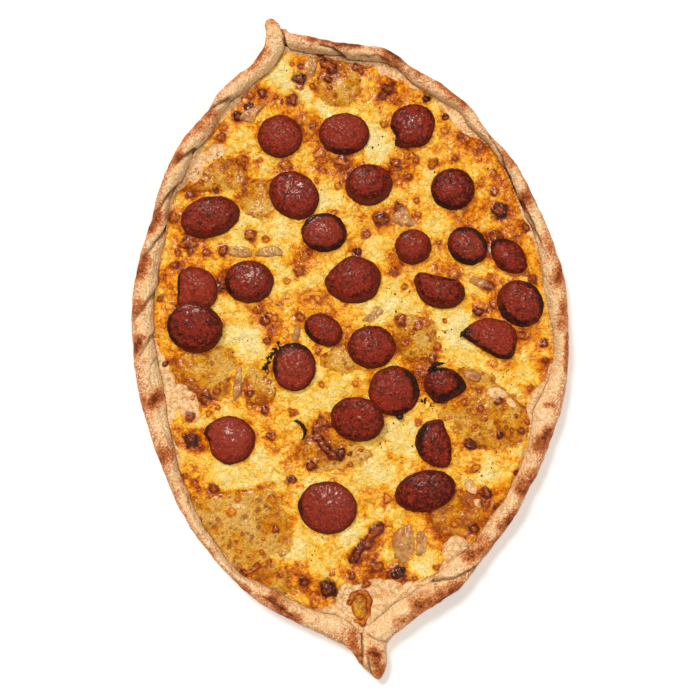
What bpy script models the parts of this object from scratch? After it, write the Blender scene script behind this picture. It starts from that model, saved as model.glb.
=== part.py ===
"""Turkish pide: a long flat bread with a rolled, folded rim round a melted cheese topping.

The dough is one body: a flat base whose edge is rolled up into a rim, pinched into a horn at
the far end and a tail at the near end. On the base lie the cheese layer, thin potato slices
let into it, onion strips, and slices of sausage, each a body of its own.

Sizes are in millimetres here and become metres as each mesh is made. +Z is up, +Y runs
from the tail to the horn, and the bread rests on its flat underside at z = 0.
"""

import math

import bmesh
import bpy
import numpy as np

# --- driving dimensions -----------------------------------------------------------------
METRES = 0.001
COLLECTION_NAME = "turkish_pide"
LENGTH = 329.6
BASE_THICKNESS = 4.4
GAP = 0.35
SHARP_ANGLE = 50.0

RIM_STATIONS = 146
RIM_HEIGHT = 12.6
HORN_HEIGHT = 14.2
TAIL_HEIGHT = 10.2
FOOT_INSET = 0.13
# Shares of half the length at which the crest starts to change towards the horn and the tail.
HORN_START = 0.86
TAIL_START = 0.84
# Swells of the crest: height, number round the rim and phase.
RIM_SWELLS = ((0.5, 9, 0.4), (0.35, 16, 1.9))
# Shares of the crest's height between which the creases set in.
CREASE_FROM = 0.45
CREASE_FULL = 0.85

CHEESE_TOP = 7.5
CHEESE_EDGE_TOP = 6.7
CHEESE_GAP = 0.6
CHEESE_SHOULDER = 2.6
# Rings of the cheese's top, as shares of the way from the middle to the shoulder.
CHEESE_RINGS = (1.0, 0.75, 0.35)
# Swell of the cheese's top: its height, the lengths of its waves and how far they sway.
CHEESE_SWELL = 0.35
WAVE_ACROSS = 11.0
WAVE_ALONG = 13.0
SWAY_LENGTH = 17.0
SWAY = 0.8
SWELL_MIDDLE = 0.6

POTATO_SIDES = 14
POTATO_UNDERSIDE = 6.1
POTATO_TOP = 8.1
POTATO_WALL_DROP = 0.6
POTATO_SHOULDER = 1.2
POTATO_SHOULDER_DROP = 0.1

ONION_SIDES = 12
ONION_UNDERSIDE = 8.05
ONION_THICKNESS = 0.8

SAUSAGE_SIDES = 15
SAUSAGE_UNDERSIDE = 8.75
SAUSAGE_THICKNESS = 2.9
# Section of a sausage slice: (inset from the outline, share of the thickness), from below.
SAUSAGE_SECTION = ((0.7, 0.0), (0.0, 0.42), (0.9, 0.94))
ELLIPSE_POINTS = 8

# Materials: base colour and roughness.
MATERIALS = {
    "baked_dough": ((0.78, 0.52, 0.30), 0.72),
    "melted_cheese": ((0.92, 0.66, 0.24), 0.38),
    "sausage_meat": ((0.26, 0.045, 0.025), 0.34),
    "potato_flesh": ((0.66, 0.46, 0.20), 0.50),
    "onion_flesh": ((0.80, 0.56, 0.42), 0.35),
}

# Section of the rolled rim: (share of the way from the fold to the outer edge, share of the
# height), from under the outer edge, over the crest and down to the fold.
RIM_SECTION = (
    (0.95, 0.08),
    (1.00, 0.36),
    (0.92, 0.73),
    (0.69, 0.97),
    (0.48, 1.00),
    (0.28, 0.94),
    (0.11, 0.79),
    (0.00, 0.58),
)

# Stations round the rim, clockwise from the tip of the horn: the fold line where the roll
# meets the filling (x, y), then the outer edge (x, y).
RIM_LINES = (
    (-32.4, 150.6, -39.8, 164.8),
    (-31.7, 151.0, -36.3, 163.0),
    (-31.2, 150.9, -33.3, 160.2),
    (-29.8, 150.3, -29.0, 157.5),
    (-24.0, 148.7, -20.5, 156.0),
    (-15.0, 147.3, -9.5, 153.6),
    (-5.0, 146.2, 0.3, 152.2),
    (5.0, 144.0, 10.0, 151.0),
    (14.0, 143.4, 18.8, 149.3),
    (21.0, 141.0, 25.4, 145.4),
    (26.5, 137.0, 31.5, 140.3),
    (33.0, 131.0, 41.0, 135.3),
    (44.5, 124.2, 52.5, 127.6),
    (53.8, 118.8, 61.8, 119.0),
    (59.6, 110.8, 69.2, 108.2),
    (68.4, 102.3, 77.6, 98.9),
    (75.6, 92.0, 85.2, 88.4),
    (80.3, 82.0, 91.4, 76.4),
    (85.6, 70.0, 96.9, 65.2),
    (91.0, 58.5, 102.4, 50.4),
    (94.6, 46.0, 105.8, 40.4),
    (96.6, 31.0, 108.3, 25.6),
    (99.8, 15.5, 109.1, 9.6),
    (101.4, 1.0, 108.9, -6.0),
    (99.0, -12.0, 107.4, -21.0),
    (95.2, -21.5, 104.6, -32.6),
    (91.0, -29.0, 101.2, -42.0),
    (90.0, -38.0, 97.9, -50.4),
    (87.6, -49.5, 93.7, -61.5),
    (83.0, -61.5, 88.0, -71.6),
    (77.0, -73.5, 82.0, -84.0),
    (69.0, -84.2, 73.6, -94.9),
    (60.0, -96.8, 64.2, -107.3),
    (50.5, -104.6, 56.0, -117.8),
    (42.0, -113.0, 47.0, -124.8),
    (32.0, -120.2, 36.5, -130.9),
    (21.0, -126.8, 27.0, -138.6),
    (12.5, -134.0, 20.6, -144.2),
    (8.2, -138.0, 18.2, -149.0),
    (6.6, -139.8, 18.2, -157.6),
    (5.9, -140.5, 14.8, -164.8),
    (5.1, -140.5, 9.6, -161.4),
    (4.0, -139.4, 4.6, -157.0),
    (0.4, -136.0, 0.2, -149.5),
    (-6.0, -132.4, -10.5, -144.0),
    (-16.0, -130.0, -25.0, -136.8),
    (-24.0, -127.0, -36.0, -131.1),
    (-32.5, -121.9, -46.4, -125.0),
    (-44.0, -116.4, -56.6, -116.4),
    (-55.0, -110.4, -66.4, -105.6),
    (-64.0, -100.2, -75.2, -94.6),
    (-71.5, -89.6, -82.4, -84.0),
    (-77.5, -78.0, -88.4, -72.0),
    (-83.0, -65.5, -93.4, -58.6),
    (-86.8, -52.0, -99.0, -44.4),
    (-89.6, -38.5, -103.2, -29.4),
    (-91.8, -24.0, -106.8, -13.0),
    (-94.6, -9.0, -108.6, 3.6),
    (-97.2, 5.0, -109.1, 17.6),
    (-97.6, 18.0, -107.6, 32.2),
    (-96.0, 33.0, -103.8, 49.6),
    (-93.4, 48.5, -99.4, 65.0),
    (-91.0, 62.0, -95.2, 79.2),
    (-88.6, 76.0, -90.6, 92.0),
    (-82.4, 87.0, -85.0, 102.6),
    (-77.6, 97.6, -78.0, 111.6),
    (-69.8, 106.0, -71.0, 119.4),
    (-65.4, 114.6, -65.8, 127.6),
    (-57.8, 124.6, -58.0, 135.2),
    (-46.6, 133.4, -49.2, 142.2),
    (-38.4, 140.2, -43.4, 150.2),
    (-34.4, 146.4, -41.9, 156.8),
    (-33.2, 149.4, -42.1, 162.4),
)

# Creases of the folds: points of each line, then its depth and half width.
CREASES = (
    (((-33.6, 160.6), (-33.0, 155.5), (-31.4, 150.5)), 2.6, 1.7),
    (((-70.0, 119.5), (-60.0, 124.0)), 2.2, 2.0),
    (((-84.5, 93.5), (-76.5, 99.5)), 2.0, 2.0),
    (((-99.5, 66.5), (-91.0, 74.5), (-85.0, 83.5)), 2.0, 1.9),
    (((-102.5, 46.5), (-97.0, 52.0), (-91.5, 59.0)), 1.8, 1.9),
    (((-107.5, 14.0), (-102.0, 21.0), (-96.5, 28.5)), 1.6, 2.0),
    (((-104.0, -2.0), (-97.0, 9.0)), 1.5, 2.0),
    (((-14.0, 149.8), (-8.0, 148.6), (-2.5, 144.8)), 1.8, 1.7),
    (((69.0, 108.0), (74.5, 97.5), (80.5, 86.0), (88.0, 70.0), (94.0, 55.0)), 1.4, 1.6),
    (((90.0, -30.0), (97.5, -19.0), (101.0, -5.0)), 1.8, 2.0),
    (((40.0, -114.5), (52.0, -112.8), (63.0, -107.5)), 2.2, 1.9),
    (((5.4, -140.0), (6.3, -147.0), (6.6, -157.0)), 2.8, 1.8),
    (((8.0, -141.0), (18.0, -145.5)), 1.4, 1.8),
    (((-43.0, -121.8), (-30.0, -131.4)), 1.5, 1.8),
)

# Sausage slices: centre, then the points of the outline from it, counterclockwise, then the
# lean (rise at the far side of the slice, direction that rises in degrees).
ROUND = None
SAUSAGE_SLICES = (
    (-34.8, 106.0, (11.3, 10.7, 0.0), ROUND, (0.0, 0.0)),
    (-2.8, 107.2, (12.8, 10.4, 0.0), ROUND, (0.8, 80.0)),
    (
        31.2,
        111.2,
        None,
        (
            (11.0, 1.0), (8.6, 8.0), (1.0, 10.9), (-8.0, 8.0), (-11.2, 0.6), (-8.6, -5.0),
            (-8.6, -9.6), (-1.0, -11.0), (7.4, -8.4),
        ),
        (0.0, 0.0),
    ),
    (-27.8, 76.8, (13.4, 11.2, -38.0), ROUND, (0.7, 110.0)),
    (9.4, 81.9, (11.9, 10.2, 8.0), ROUND, (1.0, 100.0)),
    (51.0, 79.8, (11.1, 10.4, 0.0), ROUND, (0.0, 0.0)),
    (-69.4, 66.0, (15.1, 10.2, 16.0), ROUND, (0.8, 130.0)),
    (-12.8, 58.2, (11.4, 9.8, 0.0), ROUND, (0.0, 0.0)),
    (31.4, 51.2, (9.2, 8.8, 0.0), ROUND, (0.6, 90.0)),
    (58.4, 51.6, (10.5, 9.2, -35.0), ROUND, (0.5, 200.0)),
    (
        78.6,
        46.6,
        None,
        (
            (9.2, -3.0), (6.6, 4.0), (0.0, 8.4), (-7.6, 7.4), (-8.4, 0.6), (-4.6, -6.0), (2.0, -8.6),
            (8.0, -7.6),
        ),
        (0.0, 0.0),
    ),
    (
        1.6,
        34.8,
        None,
        (
            (14.0, 1.6), (9.6, 8.8), (0.0, 11.6), (-7.0, 8.2), (-14.4, -0.6), (-9.2, -8.8),
            (0.0, -11.8), (10.2, -8.8),
        ),
        (0.9, 80.0),
    ),
    (-50.0, 33.8, (12.3, 10.7, 0.0), ROUND, (0.8, 110.0)),
    (
        -75.8,
        31.6,
        None,
        (
            (9.6, -1.0), (6.8, 6.4), (-2.0, 9.6), (-9.0, 6.6), (-9.8, -3.0), (-9.2, -9.6),
            (-0.6, -11.2), (8.0, -9.0),
        ),
        (0.0, 0.0),
    ),
    (
        44.4,
        29.0,
        None,
        (
            (13.0, -1.4), (10.6, 4.4), (3.6, 6.6), (-4.6, 8.4), (-10.4, 9.2), (-12.8, 4.8),
            (-8.6, -4.4), (0.6, -8.8), (9.2, -7.0),
        ),
        (0.8, 80.0),
    ),
    (84.6, 23.0, (12.4, 11.0, -45.0), ROUND, (0.6, 30.0)),
    (-76.8, 11.0, (13.9, 12.6, -10.0), ROUND, (4.0, 88.0)),
    (
        70.2,
        5.2,
        None,
        (
            (13.0, 0.4), (9.4, 7.4), (0.0, 10.6), (-8.6, 8.4), (-14.6, 2.8), (-8.0, -2.8), (1.4, -8.6),
            (9.8, -9.4),
        ),
        (0.7, 150.0),
    ),
    (-13.2, 9.8, (10.2, 7.6, -28.0), ROUND, (0.4, 60.0)),
    (10.6, 1.4, (12.1, 10.9, 0.0), ROUND, (0.0, 0.0)),
    (-27.6, -8.4, (10.9, 12.2, 0.0), ROUND, (0.5, 300.0)),
    (22.0, -20.4, (12.8, 12.6, 0.0), ROUND, (1.0, 135.0)),
    (
        46.6,
        -16.8,
        None,
        (
            (11.4, -1.4), (5.4, 6.6), (-2.4, 8.0), (-8.8, 4.6), (-9.6, -2.6), (-3.6, -9.6),
            (4.6, -7.2),
        ),
        (1.0, 140.0),
    ),
    (3.6, -34.4, (13.5, 11.2, -12.0), ROUND, (4.2, 38.0)),
    (
        -59.4,
        -45.0,
        None,
        (
            (12.6, 1.4), (8.0, 9.4), (-1.0, 12.4), (-9.4, 8.8), (-13.2, 3.6), (-9.0, -1.4),
            (-9.2, -8.0), (-1.6, -12.0), (8.6, -8.8),
        ),
        (0.7, 160.0),
    ),
    (
        41.4,
        -46.6,
        None,
        (
            (8.6, 0.4), (5.6, 8.6), (3.6, 12.2), (-4.4, 10.2), (-9.2, 2.0), (-6.4, -7.0), (0.6, -11.4),
            (8.0, -10.6),
        ),
        (0.0, 0.0),
    ),
    (37.4, -70.2, (15.5, 10.4, 12.0), ROUND, (0.6, 90.0)),
    (-11.2, -78.4, (14.8, 13.3, -12.0), ROUND, (0.5, 70.0)),
)

# Potato slices: centre and the points of the outline from it, counterclockwise.
POTATO_SLICES = (
    (
        -6.0,
        132.6,
        (
            (11.0, 0.0), (7.6, 8.8), (-1.0, 11.4), (-8.8, 5.6), (-10.6, -2.4), (-5.0, -10.4),
            (6.0, -9.6),
        ),
    ),
    (
        -67.0,
        86.4,
        (
            (16.6, -1.2), (9.6, 7.6), (1.0, 8.2), (-9.0, -0.4), (-15.4, -6.6), (-4.0, -7.8),
            (8.6, -7.2),
        ),
    ),
    (
        -44.6,
        75.8,
        (
            (9.4, 1.4), (5.6, 8.6), (-4.4, 7.6), (-9.4, 1.0), (-7.4, -6.6), (1.6, -9.0), (8.4, -5.4),
        ),
    ),
    (
        32.4,
        5.4,
        (
            (11.4, 0.4), (6.4, 10.2), (-4.0, 12.2), (-11.6, 7.4), (-10.4, -3.8), (-1.8, -11.2),
            (8.2, -8.8),
        ),
    ),
    (
        -73.6,
        -12.4,
        (
            (15.0, 2.0), (13.0, 13.0), (-2.0, 13.2), (-13.4, 6.4), (-12.0, -3.6), (-2.0, -9.8),
            (9.2, -12.4),
        ),
    ),
    (
        -45.0,
        -18.0,
        (
            (8.6, 1.0), (4.6, 9.2), (-4.6, 9.0), (-6.8, 0.0), (-4.8, -9.0), (5.4, -8.4),
        ),
    ),
    (
        69.4,
        -33.6,
        (
            (19.2, -3.4), (15.8, 6.8), (4.4, 15.4), (-8.8, 13.2), (-18.0, 3.2), (-16.2, -9.4),
            (-3.0, -16.2), (11.8, -14.0),
        ),
    ),
    (
        -53.0,
        -86.6,
        (
            (21.6, -4.0), (16.0, 18.4), (-2.0, 15.6), (-18.6, 14.2), (-18.2, 4.8), (-7.0, -12.6),
            (2.6, -21.4), (13.6, -17.4),
        ),
    ),
    (
        -38.0,
        -111.6,
        (
            (7.4, 0.4), (2.4, 5.0), (-6.8, 1.8), (-8.6, -2.0), (1.8, -6.4), (6.0, -6.2),
        ),
    ),
    (
        -6.0,
        -53.0,
        (
            (16.6, 1.0), (9.4, 5.4), (-4.0, 10.6), (-16.0, 8.4), (-20.6, 0.0), (-10.0, -7.6),
            (7.8, -5.2),
        ),
    ),
    (
        53.4,
        -82.6,
        (
            (13.2, 4.2), (5.0, 13.6), (-7.0, 9.6), (-14.2, 3.6), (-12.4, -7.8), (-1.6, -9.6),
            (6.8, -6.8),
        ),
    ),
    (
        4.6,
        -127.6,
        (
            (3.9, 1.0), (1.6, 6.0), (-3.2, 4.2), (-3.6, -2.4), (-0.4, -6.6), (3.0, -4.2),
        ),
    ),
    (
        -4.8,
        -4.6,
        (
            (7.8, 2.4), (2.0, 7.8), (-7.4, 4.2), (-8.0, -3.2), (-0.6, -7.0), (6.4, -4.4),
        ),
    ),
)

# Onion strips: centre and the points of the outline from it, counterclockwise.
ONION_STRIPS = (
    (-48.4, 117.6, ((2.6, 0.4), (7.0, 4.8), (0.0, 3.4), (-7.2, -0.8), (-5.6, -4.0), (0.6, -4.4))),
    (-18.4, 140.8, ((2.4, 1.6), (1.4, 4.8), (-2.6, 4.4), (-5.4, 0.6), (-3.2, -5.2), (0.6, -4.0))),
    (27.0, 66.0, ((6.6, -3.6), (3.2, 1.0), (-0.2, 6.0), (-4.0, 2.6), (-7.0, -0.8), (-1.6, -4.4))),
    (-54.6, 48.6, ((5.8, -1.6), (3.2, 2.8), (-2.4, 3.4), (-6.0, -0.2), (-1.6, -2.8))),
    (-40.6, 48.8, ((6.6, -1.6), (5.4, 2.6), (-0.6, 2.8), (-7.0, -0.8), (-1.0, -2.4))),
    (64.6, 34.4, ((7.4, -4.0), (3.2, 0.6), (-4.4, 2.6), (-6.0, 0.2), (-0.8, -3.4))),
    (12.0, 18.2, ((5.2, 1.2), (1.2, 4.2), (-2.6, 0.6), (-5.6, -3.6), (-0.6, -4.4))),
    (60.6, -12.8, ((4.8, 0.6), (0.4, 2.8), (-4.6, 2.2), (-3.4, -1.0), (2.6, -3.0))),
    (-56.0, -16.0, ((2.2, 5.6), (0.6, 8.6), (-1.4, 3.0), (-2.6, -6.4), (-0.4, -9.2), (2.2, -3.6))),
    (28.0, -95.6, ((4.6, 1.0), (3.0, 9.4), (-4.2, 6.8), (-6.2, -1.8), (-3.0, -9.8), (2.8, -8.4))),
    (36.2, -95.4, ((2.0, 3.4), (-1.4, 5.0), (-2.6, 0.0), (-3.4, -6.4), (-0.6, -6.6))),
    (-26.2, 7.6, ((1.4, 2.4), (0.4, 5.2), (-2.0, 1.6), (-2.6, -3.0), (0.4, -2.6))),
)


# --- shared helpers ---------------------------------------------------------------------
def closed_curve(points, count):
    """Return count rows along a smooth closed curve through the points."""
    rows = np.asarray(points, dtype=float)
    place = np.arange(count) * len(rows) / count
    start = np.floor(place).astype(int)
    share = (place - start)[:, None]
    before, first, second, after = (rows[(start + step) % len(rows)] for step in (-1, 0, 1, 2))
    return 0.5 * (
        2 * first
        + (second - before) * share
        + (2 * before - 5 * first + 4 * second - after) * share**2
        + (3 * first - before - 3 * second + after) * share**3
    )


def inward(outline):
    """Return the unit normals of a clockwise or counterclockwise outline, pointing into it."""
    tangent = np.roll(outline, -1, axis=0) - np.roll(outline, 1, axis=0)
    normal = np.stack([-tangent[:, 1], tangent[:, 0]], axis=1)
    normal /= np.linalg.norm(normal, axis=1, keepdims=True)
    following = np.roll(outline, -1, axis=0)
    area = np.sum(outline[:, 0] * following[:, 1] - following[:, 0] * outline[:, 1])
    return normal if area > 0 else -normal


def make_material(name):
    """Return a Principled material of one colour, as listed under its name."""
    colour, roughness = MATERIALS[name]
    material = bpy.data.materials.new(name)
    material.use_nodes = True
    shader = material.node_tree.nodes["Principled BSDF"]
    shader.inputs["Base Color"].default_value = (*colour, 1.0)
    shader.inputs["Roughness"].default_value = roughness
    return material


def ring_of(bm, outline, height):
    """Add a ring of vertices on the outline, at one height or at a height for each vertex."""
    heights = np.broadcast_to(height, len(outline))
    rows = np.column_stack([outline, heights]) * METRES
    return [bm.verts.new(row) for row in rows]


def skin(bm, rings):
    """Span each pair of neighbouring rings with quads."""
    for lower, upper in zip(rings, rings[1:]):
        for index in range(len(lower)):
            following = (index + 1) % len(lower)
            bm.faces.new((lower[index], lower[following], upper[following], upper[index]))


def cap(bm, ring, middle=None):
    """Close a ring with one flat face, or with a fan to a middle point."""
    if middle is None:
        bm.faces.new(ring)
        return
    tip = bm.verts.new(np.asarray(middle) * METRES)
    for index in range(len(ring)):
        bm.faces.new((ring[index], ring[(index + 1) % len(ring)], tip))


def finish_object(bm, name, material, collection):
    """Turn the faces outwards, shade them smooth and link the mesh as an object."""
    bmesh.ops.triangulate(bm, faces=bm.faces[:])
    bmesh.ops.recalc_face_normals(bm, faces=bm.faces[:])
    mesh = bpy.data.meshes.new(name)
    bm.to_mesh(mesh)
    bm.free()
    mesh.materials.append(material)
    mesh.shade_smooth()
    mesh.set_sharp_from_angle(angle=math.radians(SHARP_ANGLE))
    part = bpy.data.objects.new(name, mesh)
    collection.objects.link(part)
    return part


# --- dough ------------------------------------------------------------------------------
def crease_depth(points):
    """Return how far each point is pressed down by the creases of the folds."""
    depth = np.zeros(len(points))
    for line, deepest, half_width in CREASES:
        nearest = np.full(len(points), np.inf)
        for start, end in zip(line, line[1:]):
            start = np.asarray(start)
            along = np.asarray(end) - start
            share = np.clip((points - start) @ along / (along @ along), 0.0, 1.0)
            distance = np.linalg.norm(points - start - share[:, None] * along, axis=1)
            nearest = np.minimum(nearest, distance)
        depth = np.maximum(depth, deepest * np.exp(-((nearest / half_width) ** 2)))
    return depth


def rim_heights(outer):
    """Return the crest height at each station, highest at the horn and lowest at the tail."""
    lengthwise = outer[:, 1] / (LENGTH / 2)
    turn = np.arctan2(outer[:, 1], outer[:, 0])
    to_horn = np.clip((lengthwise - HORN_START) / (1.0 - HORN_START), 0.0, 1.0)
    to_tail = np.clip((-lengthwise - TAIL_START) / (1.0 - TAIL_START), 0.0, 1.0)
    height = np.full(len(outer), RIM_HEIGHT)
    for swell, number, phase in RIM_SWELLS:
        height += swell * np.sin(number * turn + phase)
    height += (HORN_HEIGHT - RIM_HEIGHT) * to_horn
    height += (TAIL_HEIGHT - RIM_HEIGHT) * to_tail
    return height


def make_dough(lines, material, collection):
    """Build the base and its rolled rim as one body, lofted round the stations."""
    fold, outer = lines[:, :2], lines[:, 2:]
    crest = rim_heights(outer)
    bm = bmesh.new()
    foot = outer + (fold - outer) * FOOT_INSET
    rings = [ring_of(bm, foot, 0.0)]
    for reach, share in RIM_SECTION:
        outline = fold + (outer - fold) * reach
        height = crest * share
        setting_in = (share - CREASE_FROM) / (CREASE_FULL - CREASE_FROM)
        pressed = crease_depth(outline) * np.clip(setting_in, 0.0, 1.0)
        rings.append(ring_of(bm, outline, height - pressed))
    rings.append(ring_of(bm, fold, BASE_THICKNESS))
    skin(bm, rings)
    cap(bm, rings[0])
    cap(bm, rings[-1])
    return finish_object(bm, "dough", material, collection)


# --- cheese -----------------------------------------------------------------------------
def cheese_height(outline):
    """Return the cheese's gently swelling top over the points."""
    across, along = outline[:, 0], outline[:, 1]
    sway = SWAY * np.sin(along / SWAY_LENGTH)
    wave = np.sin(across / WAVE_ACROSS + sway) * np.cos(along / WAVE_ALONG)
    return CHEESE_TOP + CHEESE_SWELL / 2 * (wave - SWELL_MIDDLE)


def potato_outline(points, centre, spare=0.0):
    """Return a potato slice's outline, widened by the spare distance."""
    outline = closed_curve(points, POTATO_SIDES) + centre
    return outline - inward(outline) * spare


def make_pocket_cutter(outline, name, collection):
    """Return a prism that cuts the pocket in which one potato slice lies."""
    bm = bmesh.new()
    rings = [ring_of(bm, outline, POTATO_UNDERSIDE - GAP), ring_of(bm, outline, RIM_HEIGHT)]
    skin(bm, rings)
    cap(bm, rings[0])
    cap(bm, rings[1])
    bmesh.ops.recalc_face_normals(bm, faces=bm.faces[:])
    mesh = bpy.data.meshes.new(name)
    bm.to_mesh(mesh)
    bm.free()
    cutter = bpy.data.objects.new(name, mesh)
    cutter.hide_render = True
    cutter.display_type = "WIRE"
    collection.objects.link(cutter)
    return cutter


def make_cheese(lines, material, collection, cutters):
    """Build the cheese inside the fold line and cut the potato pockets out of it."""
    fold = lines[:, :2]
    outward = fold / np.linalg.norm(fold, axis=1, keepdims=True)
    edge = fold - outward * CHEESE_GAP
    shoulder = fold - outward * CHEESE_SHOULDER
    bm = bmesh.new()
    rings = [ring_of(bm, edge, BASE_THICKNESS + GAP), ring_of(bm, edge, CHEESE_EDGE_TOP)]
    for share in CHEESE_RINGS:
        outline = shoulder * share
        rings.append(ring_of(bm, outline, cheese_height(outline)))
    skin(bm, rings)
    cap(bm, rings[0])
    cap(bm, rings[-1], (0.0, 0.0, CHEESE_TOP))
    cheese = finish_object(bm, "cheese", material, collection)
    for number, (x, y, points) in enumerate(POTATO_SLICES, start=1):
        outline = potato_outline(points, (x, y), GAP)
        cutter = make_pocket_cutter(outline, f"pocket_{number:02d}", cutters)
        pocket = cheese.modifiers.new(f"pocket_{number:02d}", "BOOLEAN")
        pocket.operation = "DIFFERENCE"
        pocket.solver = "EXACT"
        pocket.object = cutter
    return cheese


# --- toppings ---------------------------------------------------------------------------
def ellipse_points(half_long, half_short, turn):
    """Return points on an ellipse turned by an angle in degrees."""
    angle = np.arange(ELLIPSE_POINTS) * math.tau / ELLIPSE_POINTS
    lean = math.radians(turn)
    long_axis = np.array([math.cos(lean), math.sin(lean)])
    short_axis = np.array([-math.sin(lean), math.cos(lean)])
    along = half_long * np.cos(angle)
    across = half_short * np.sin(angle)
    return np.outer(along, long_axis) + np.outer(across, short_axis)


def make_sausage_slice(number, entry, material, collection):
    """Build one sausage slice: a thin disc with a rounded top edge, leaning if it is propped."""
    x, y, ellipse, points, (rise, direction) = entry
    if points is None:
        points = ellipse_points(*ellipse)
    outline = closed_curve(points, SAUSAGE_SIDES)
    reach = np.linalg.norm(outline, axis=1).max()
    slope = rise / (2 * reach)
    toward = np.array([math.cos(math.radians(direction)), math.sin(math.radians(direction))])

    def lifted(ring, height):
        """Return the height of a ring over the leaning plane the slice lies in."""
        return SAUSAGE_UNDERSIDE + height + slope * (ring @ toward + reach)

    bm = bmesh.new()
    rings = []
    for inset, share in SAUSAGE_SECTION:
        ring = outline + inward(outline) * inset
        rings.append(ring_of(bm, ring + (x, y), lifted(ring, SAUSAGE_THICKNESS * share)))
    skin(bm, rings)
    cap(bm, rings[0])
    middle = np.zeros((1, 2))
    cap(bm, rings[-1], (x, y, lifted(middle, SAUSAGE_THICKNESS)[0]))
    return finish_object(bm, f"sausage_{number:02d}", material, collection)


def make_potato_slice(number, entry, material, collection):
    """Build one thin potato slice, slightly domed, in its pocket in the cheese."""
    x, y, points = entry
    outline = potato_outline(points, (x, y))
    bm = bmesh.new()
    shoulder = outline + inward(outline) * POTATO_SHOULDER
    rings = [ring_of(bm, outline, POTATO_UNDERSIDE)]
    rings.append(ring_of(bm, outline, POTATO_TOP - POTATO_WALL_DROP))
    rings.append(ring_of(bm, shoulder, POTATO_TOP - POTATO_SHOULDER_DROP))
    skin(bm, rings)
    cap(bm, rings[0])
    cap(bm, rings[-1], (x, y, POTATO_TOP))
    return finish_object(bm, f"potato_{number:02d}", material, collection)


def make_onion_strip(number, entry, material, collection):
    """Build one flat onion strip lying on the cheese."""
    x, y, points = entry
    outline = closed_curve(points, ONION_SIDES) + (x, y)
    bm = bmesh.new()
    rings = [ring_of(bm, outline, ONION_UNDERSIDE)]
    rings.append(ring_of(bm, outline, ONION_UNDERSIDE + ONION_THICKNESS))
    skin(bm, rings)
    cap(bm, rings[0])
    cap(bm, rings[1])
    return finish_object(bm, f"onion_{number:02d}", material, collection)


# --- assembly ---------------------------------------------------------------------------
def clear_scene():
    """Remove every object of the open scene."""
    for item in list(bpy.data.objects):
        bpy.data.objects.remove(item, do_unlink=True)


def new_collection(name):
    """Return a new collection linked to the scene."""
    collection = bpy.data.collections.new(name)
    bpy.context.scene.collection.children.link(collection)
    return collection


def main():
    """Build every body of the pide."""
    clear_scene()
    pide = new_collection(COLLECTION_NAME)
    cutters = new_collection("cutters")
    crust = make_material("baked_dough")
    melted = make_material("melted_cheese")
    meat = make_material("sausage_meat")
    tuber = make_material("potato_flesh")
    bulb = make_material("onion_flesh")
    lines = closed_curve(RIM_LINES, RIM_STATIONS)
    make_dough(lines, crust, pide)
    make_cheese(lines, melted, pide, cutters)
    for number, entry in enumerate(SAUSAGE_SLICES, start=1):
        make_sausage_slice(number, entry, meat, pide)
    for number, entry in enumerate(POTATO_SLICES, start=1):
        make_potato_slice(number, entry, tuber, pide)
    for number, entry in enumerate(ONION_STRIPS, start=1):
        make_onion_strip(number, entry, bulb, pide)


main()
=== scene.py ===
"""Turkish pide: the visual model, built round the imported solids.

A boat-shaped bread with a rolled, scorched rim, a browned cheese filling, oily sausage
slices, thin potato slices and onion strips. Lengths are in millimetres, +Y runs from the
tail to the horn and the bread rests on z = 0; a mesh becomes metres when it is made.
"""

import itertools
import logging
import math
from dataclasses import dataclass, field
from enum import Enum

import bpy
import numpy as np
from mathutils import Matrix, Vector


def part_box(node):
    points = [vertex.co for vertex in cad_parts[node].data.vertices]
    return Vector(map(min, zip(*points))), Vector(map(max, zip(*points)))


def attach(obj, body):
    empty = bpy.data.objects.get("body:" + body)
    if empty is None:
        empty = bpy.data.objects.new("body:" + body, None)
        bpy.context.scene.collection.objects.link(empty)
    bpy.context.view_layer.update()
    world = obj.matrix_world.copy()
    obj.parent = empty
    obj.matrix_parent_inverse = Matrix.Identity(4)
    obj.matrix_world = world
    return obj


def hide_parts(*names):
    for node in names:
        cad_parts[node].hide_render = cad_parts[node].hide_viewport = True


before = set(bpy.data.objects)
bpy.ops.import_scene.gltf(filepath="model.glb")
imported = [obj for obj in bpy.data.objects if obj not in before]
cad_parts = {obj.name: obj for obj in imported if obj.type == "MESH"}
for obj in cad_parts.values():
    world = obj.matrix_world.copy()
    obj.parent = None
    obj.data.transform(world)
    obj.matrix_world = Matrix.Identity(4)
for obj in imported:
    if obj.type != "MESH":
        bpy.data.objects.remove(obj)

LOG = logging.getLogger("pide")
METRES = 0.001
BODY = "root"

# The lattice that the numpy noise is made on: directions and multipliers for its corners, how
# far a seed and an octave move it, and what brings the noise to about -1 to 1.
DIRECTIONS = np.random.default_rng(7).normal(size=(4096, 3))
DIRECTIONS /= np.linalg.norm(DIRECTIONS, axis=1, keepdims=True)
PRIMES = (73856093, 19349663, 83492791)
SEED_SHIFT = 7.31
OCTAVE_SHIFT = 3.7
NOISE_GAIN = 1.5

# Multipliers that turn a cell's numbers and a seed into the angle of a large sine.
CELL_MIX = np.array([127.1, 311.7, 74.7])
SEED_MIX = 19.19
SINE_SIZE = 43758.5453

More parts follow.
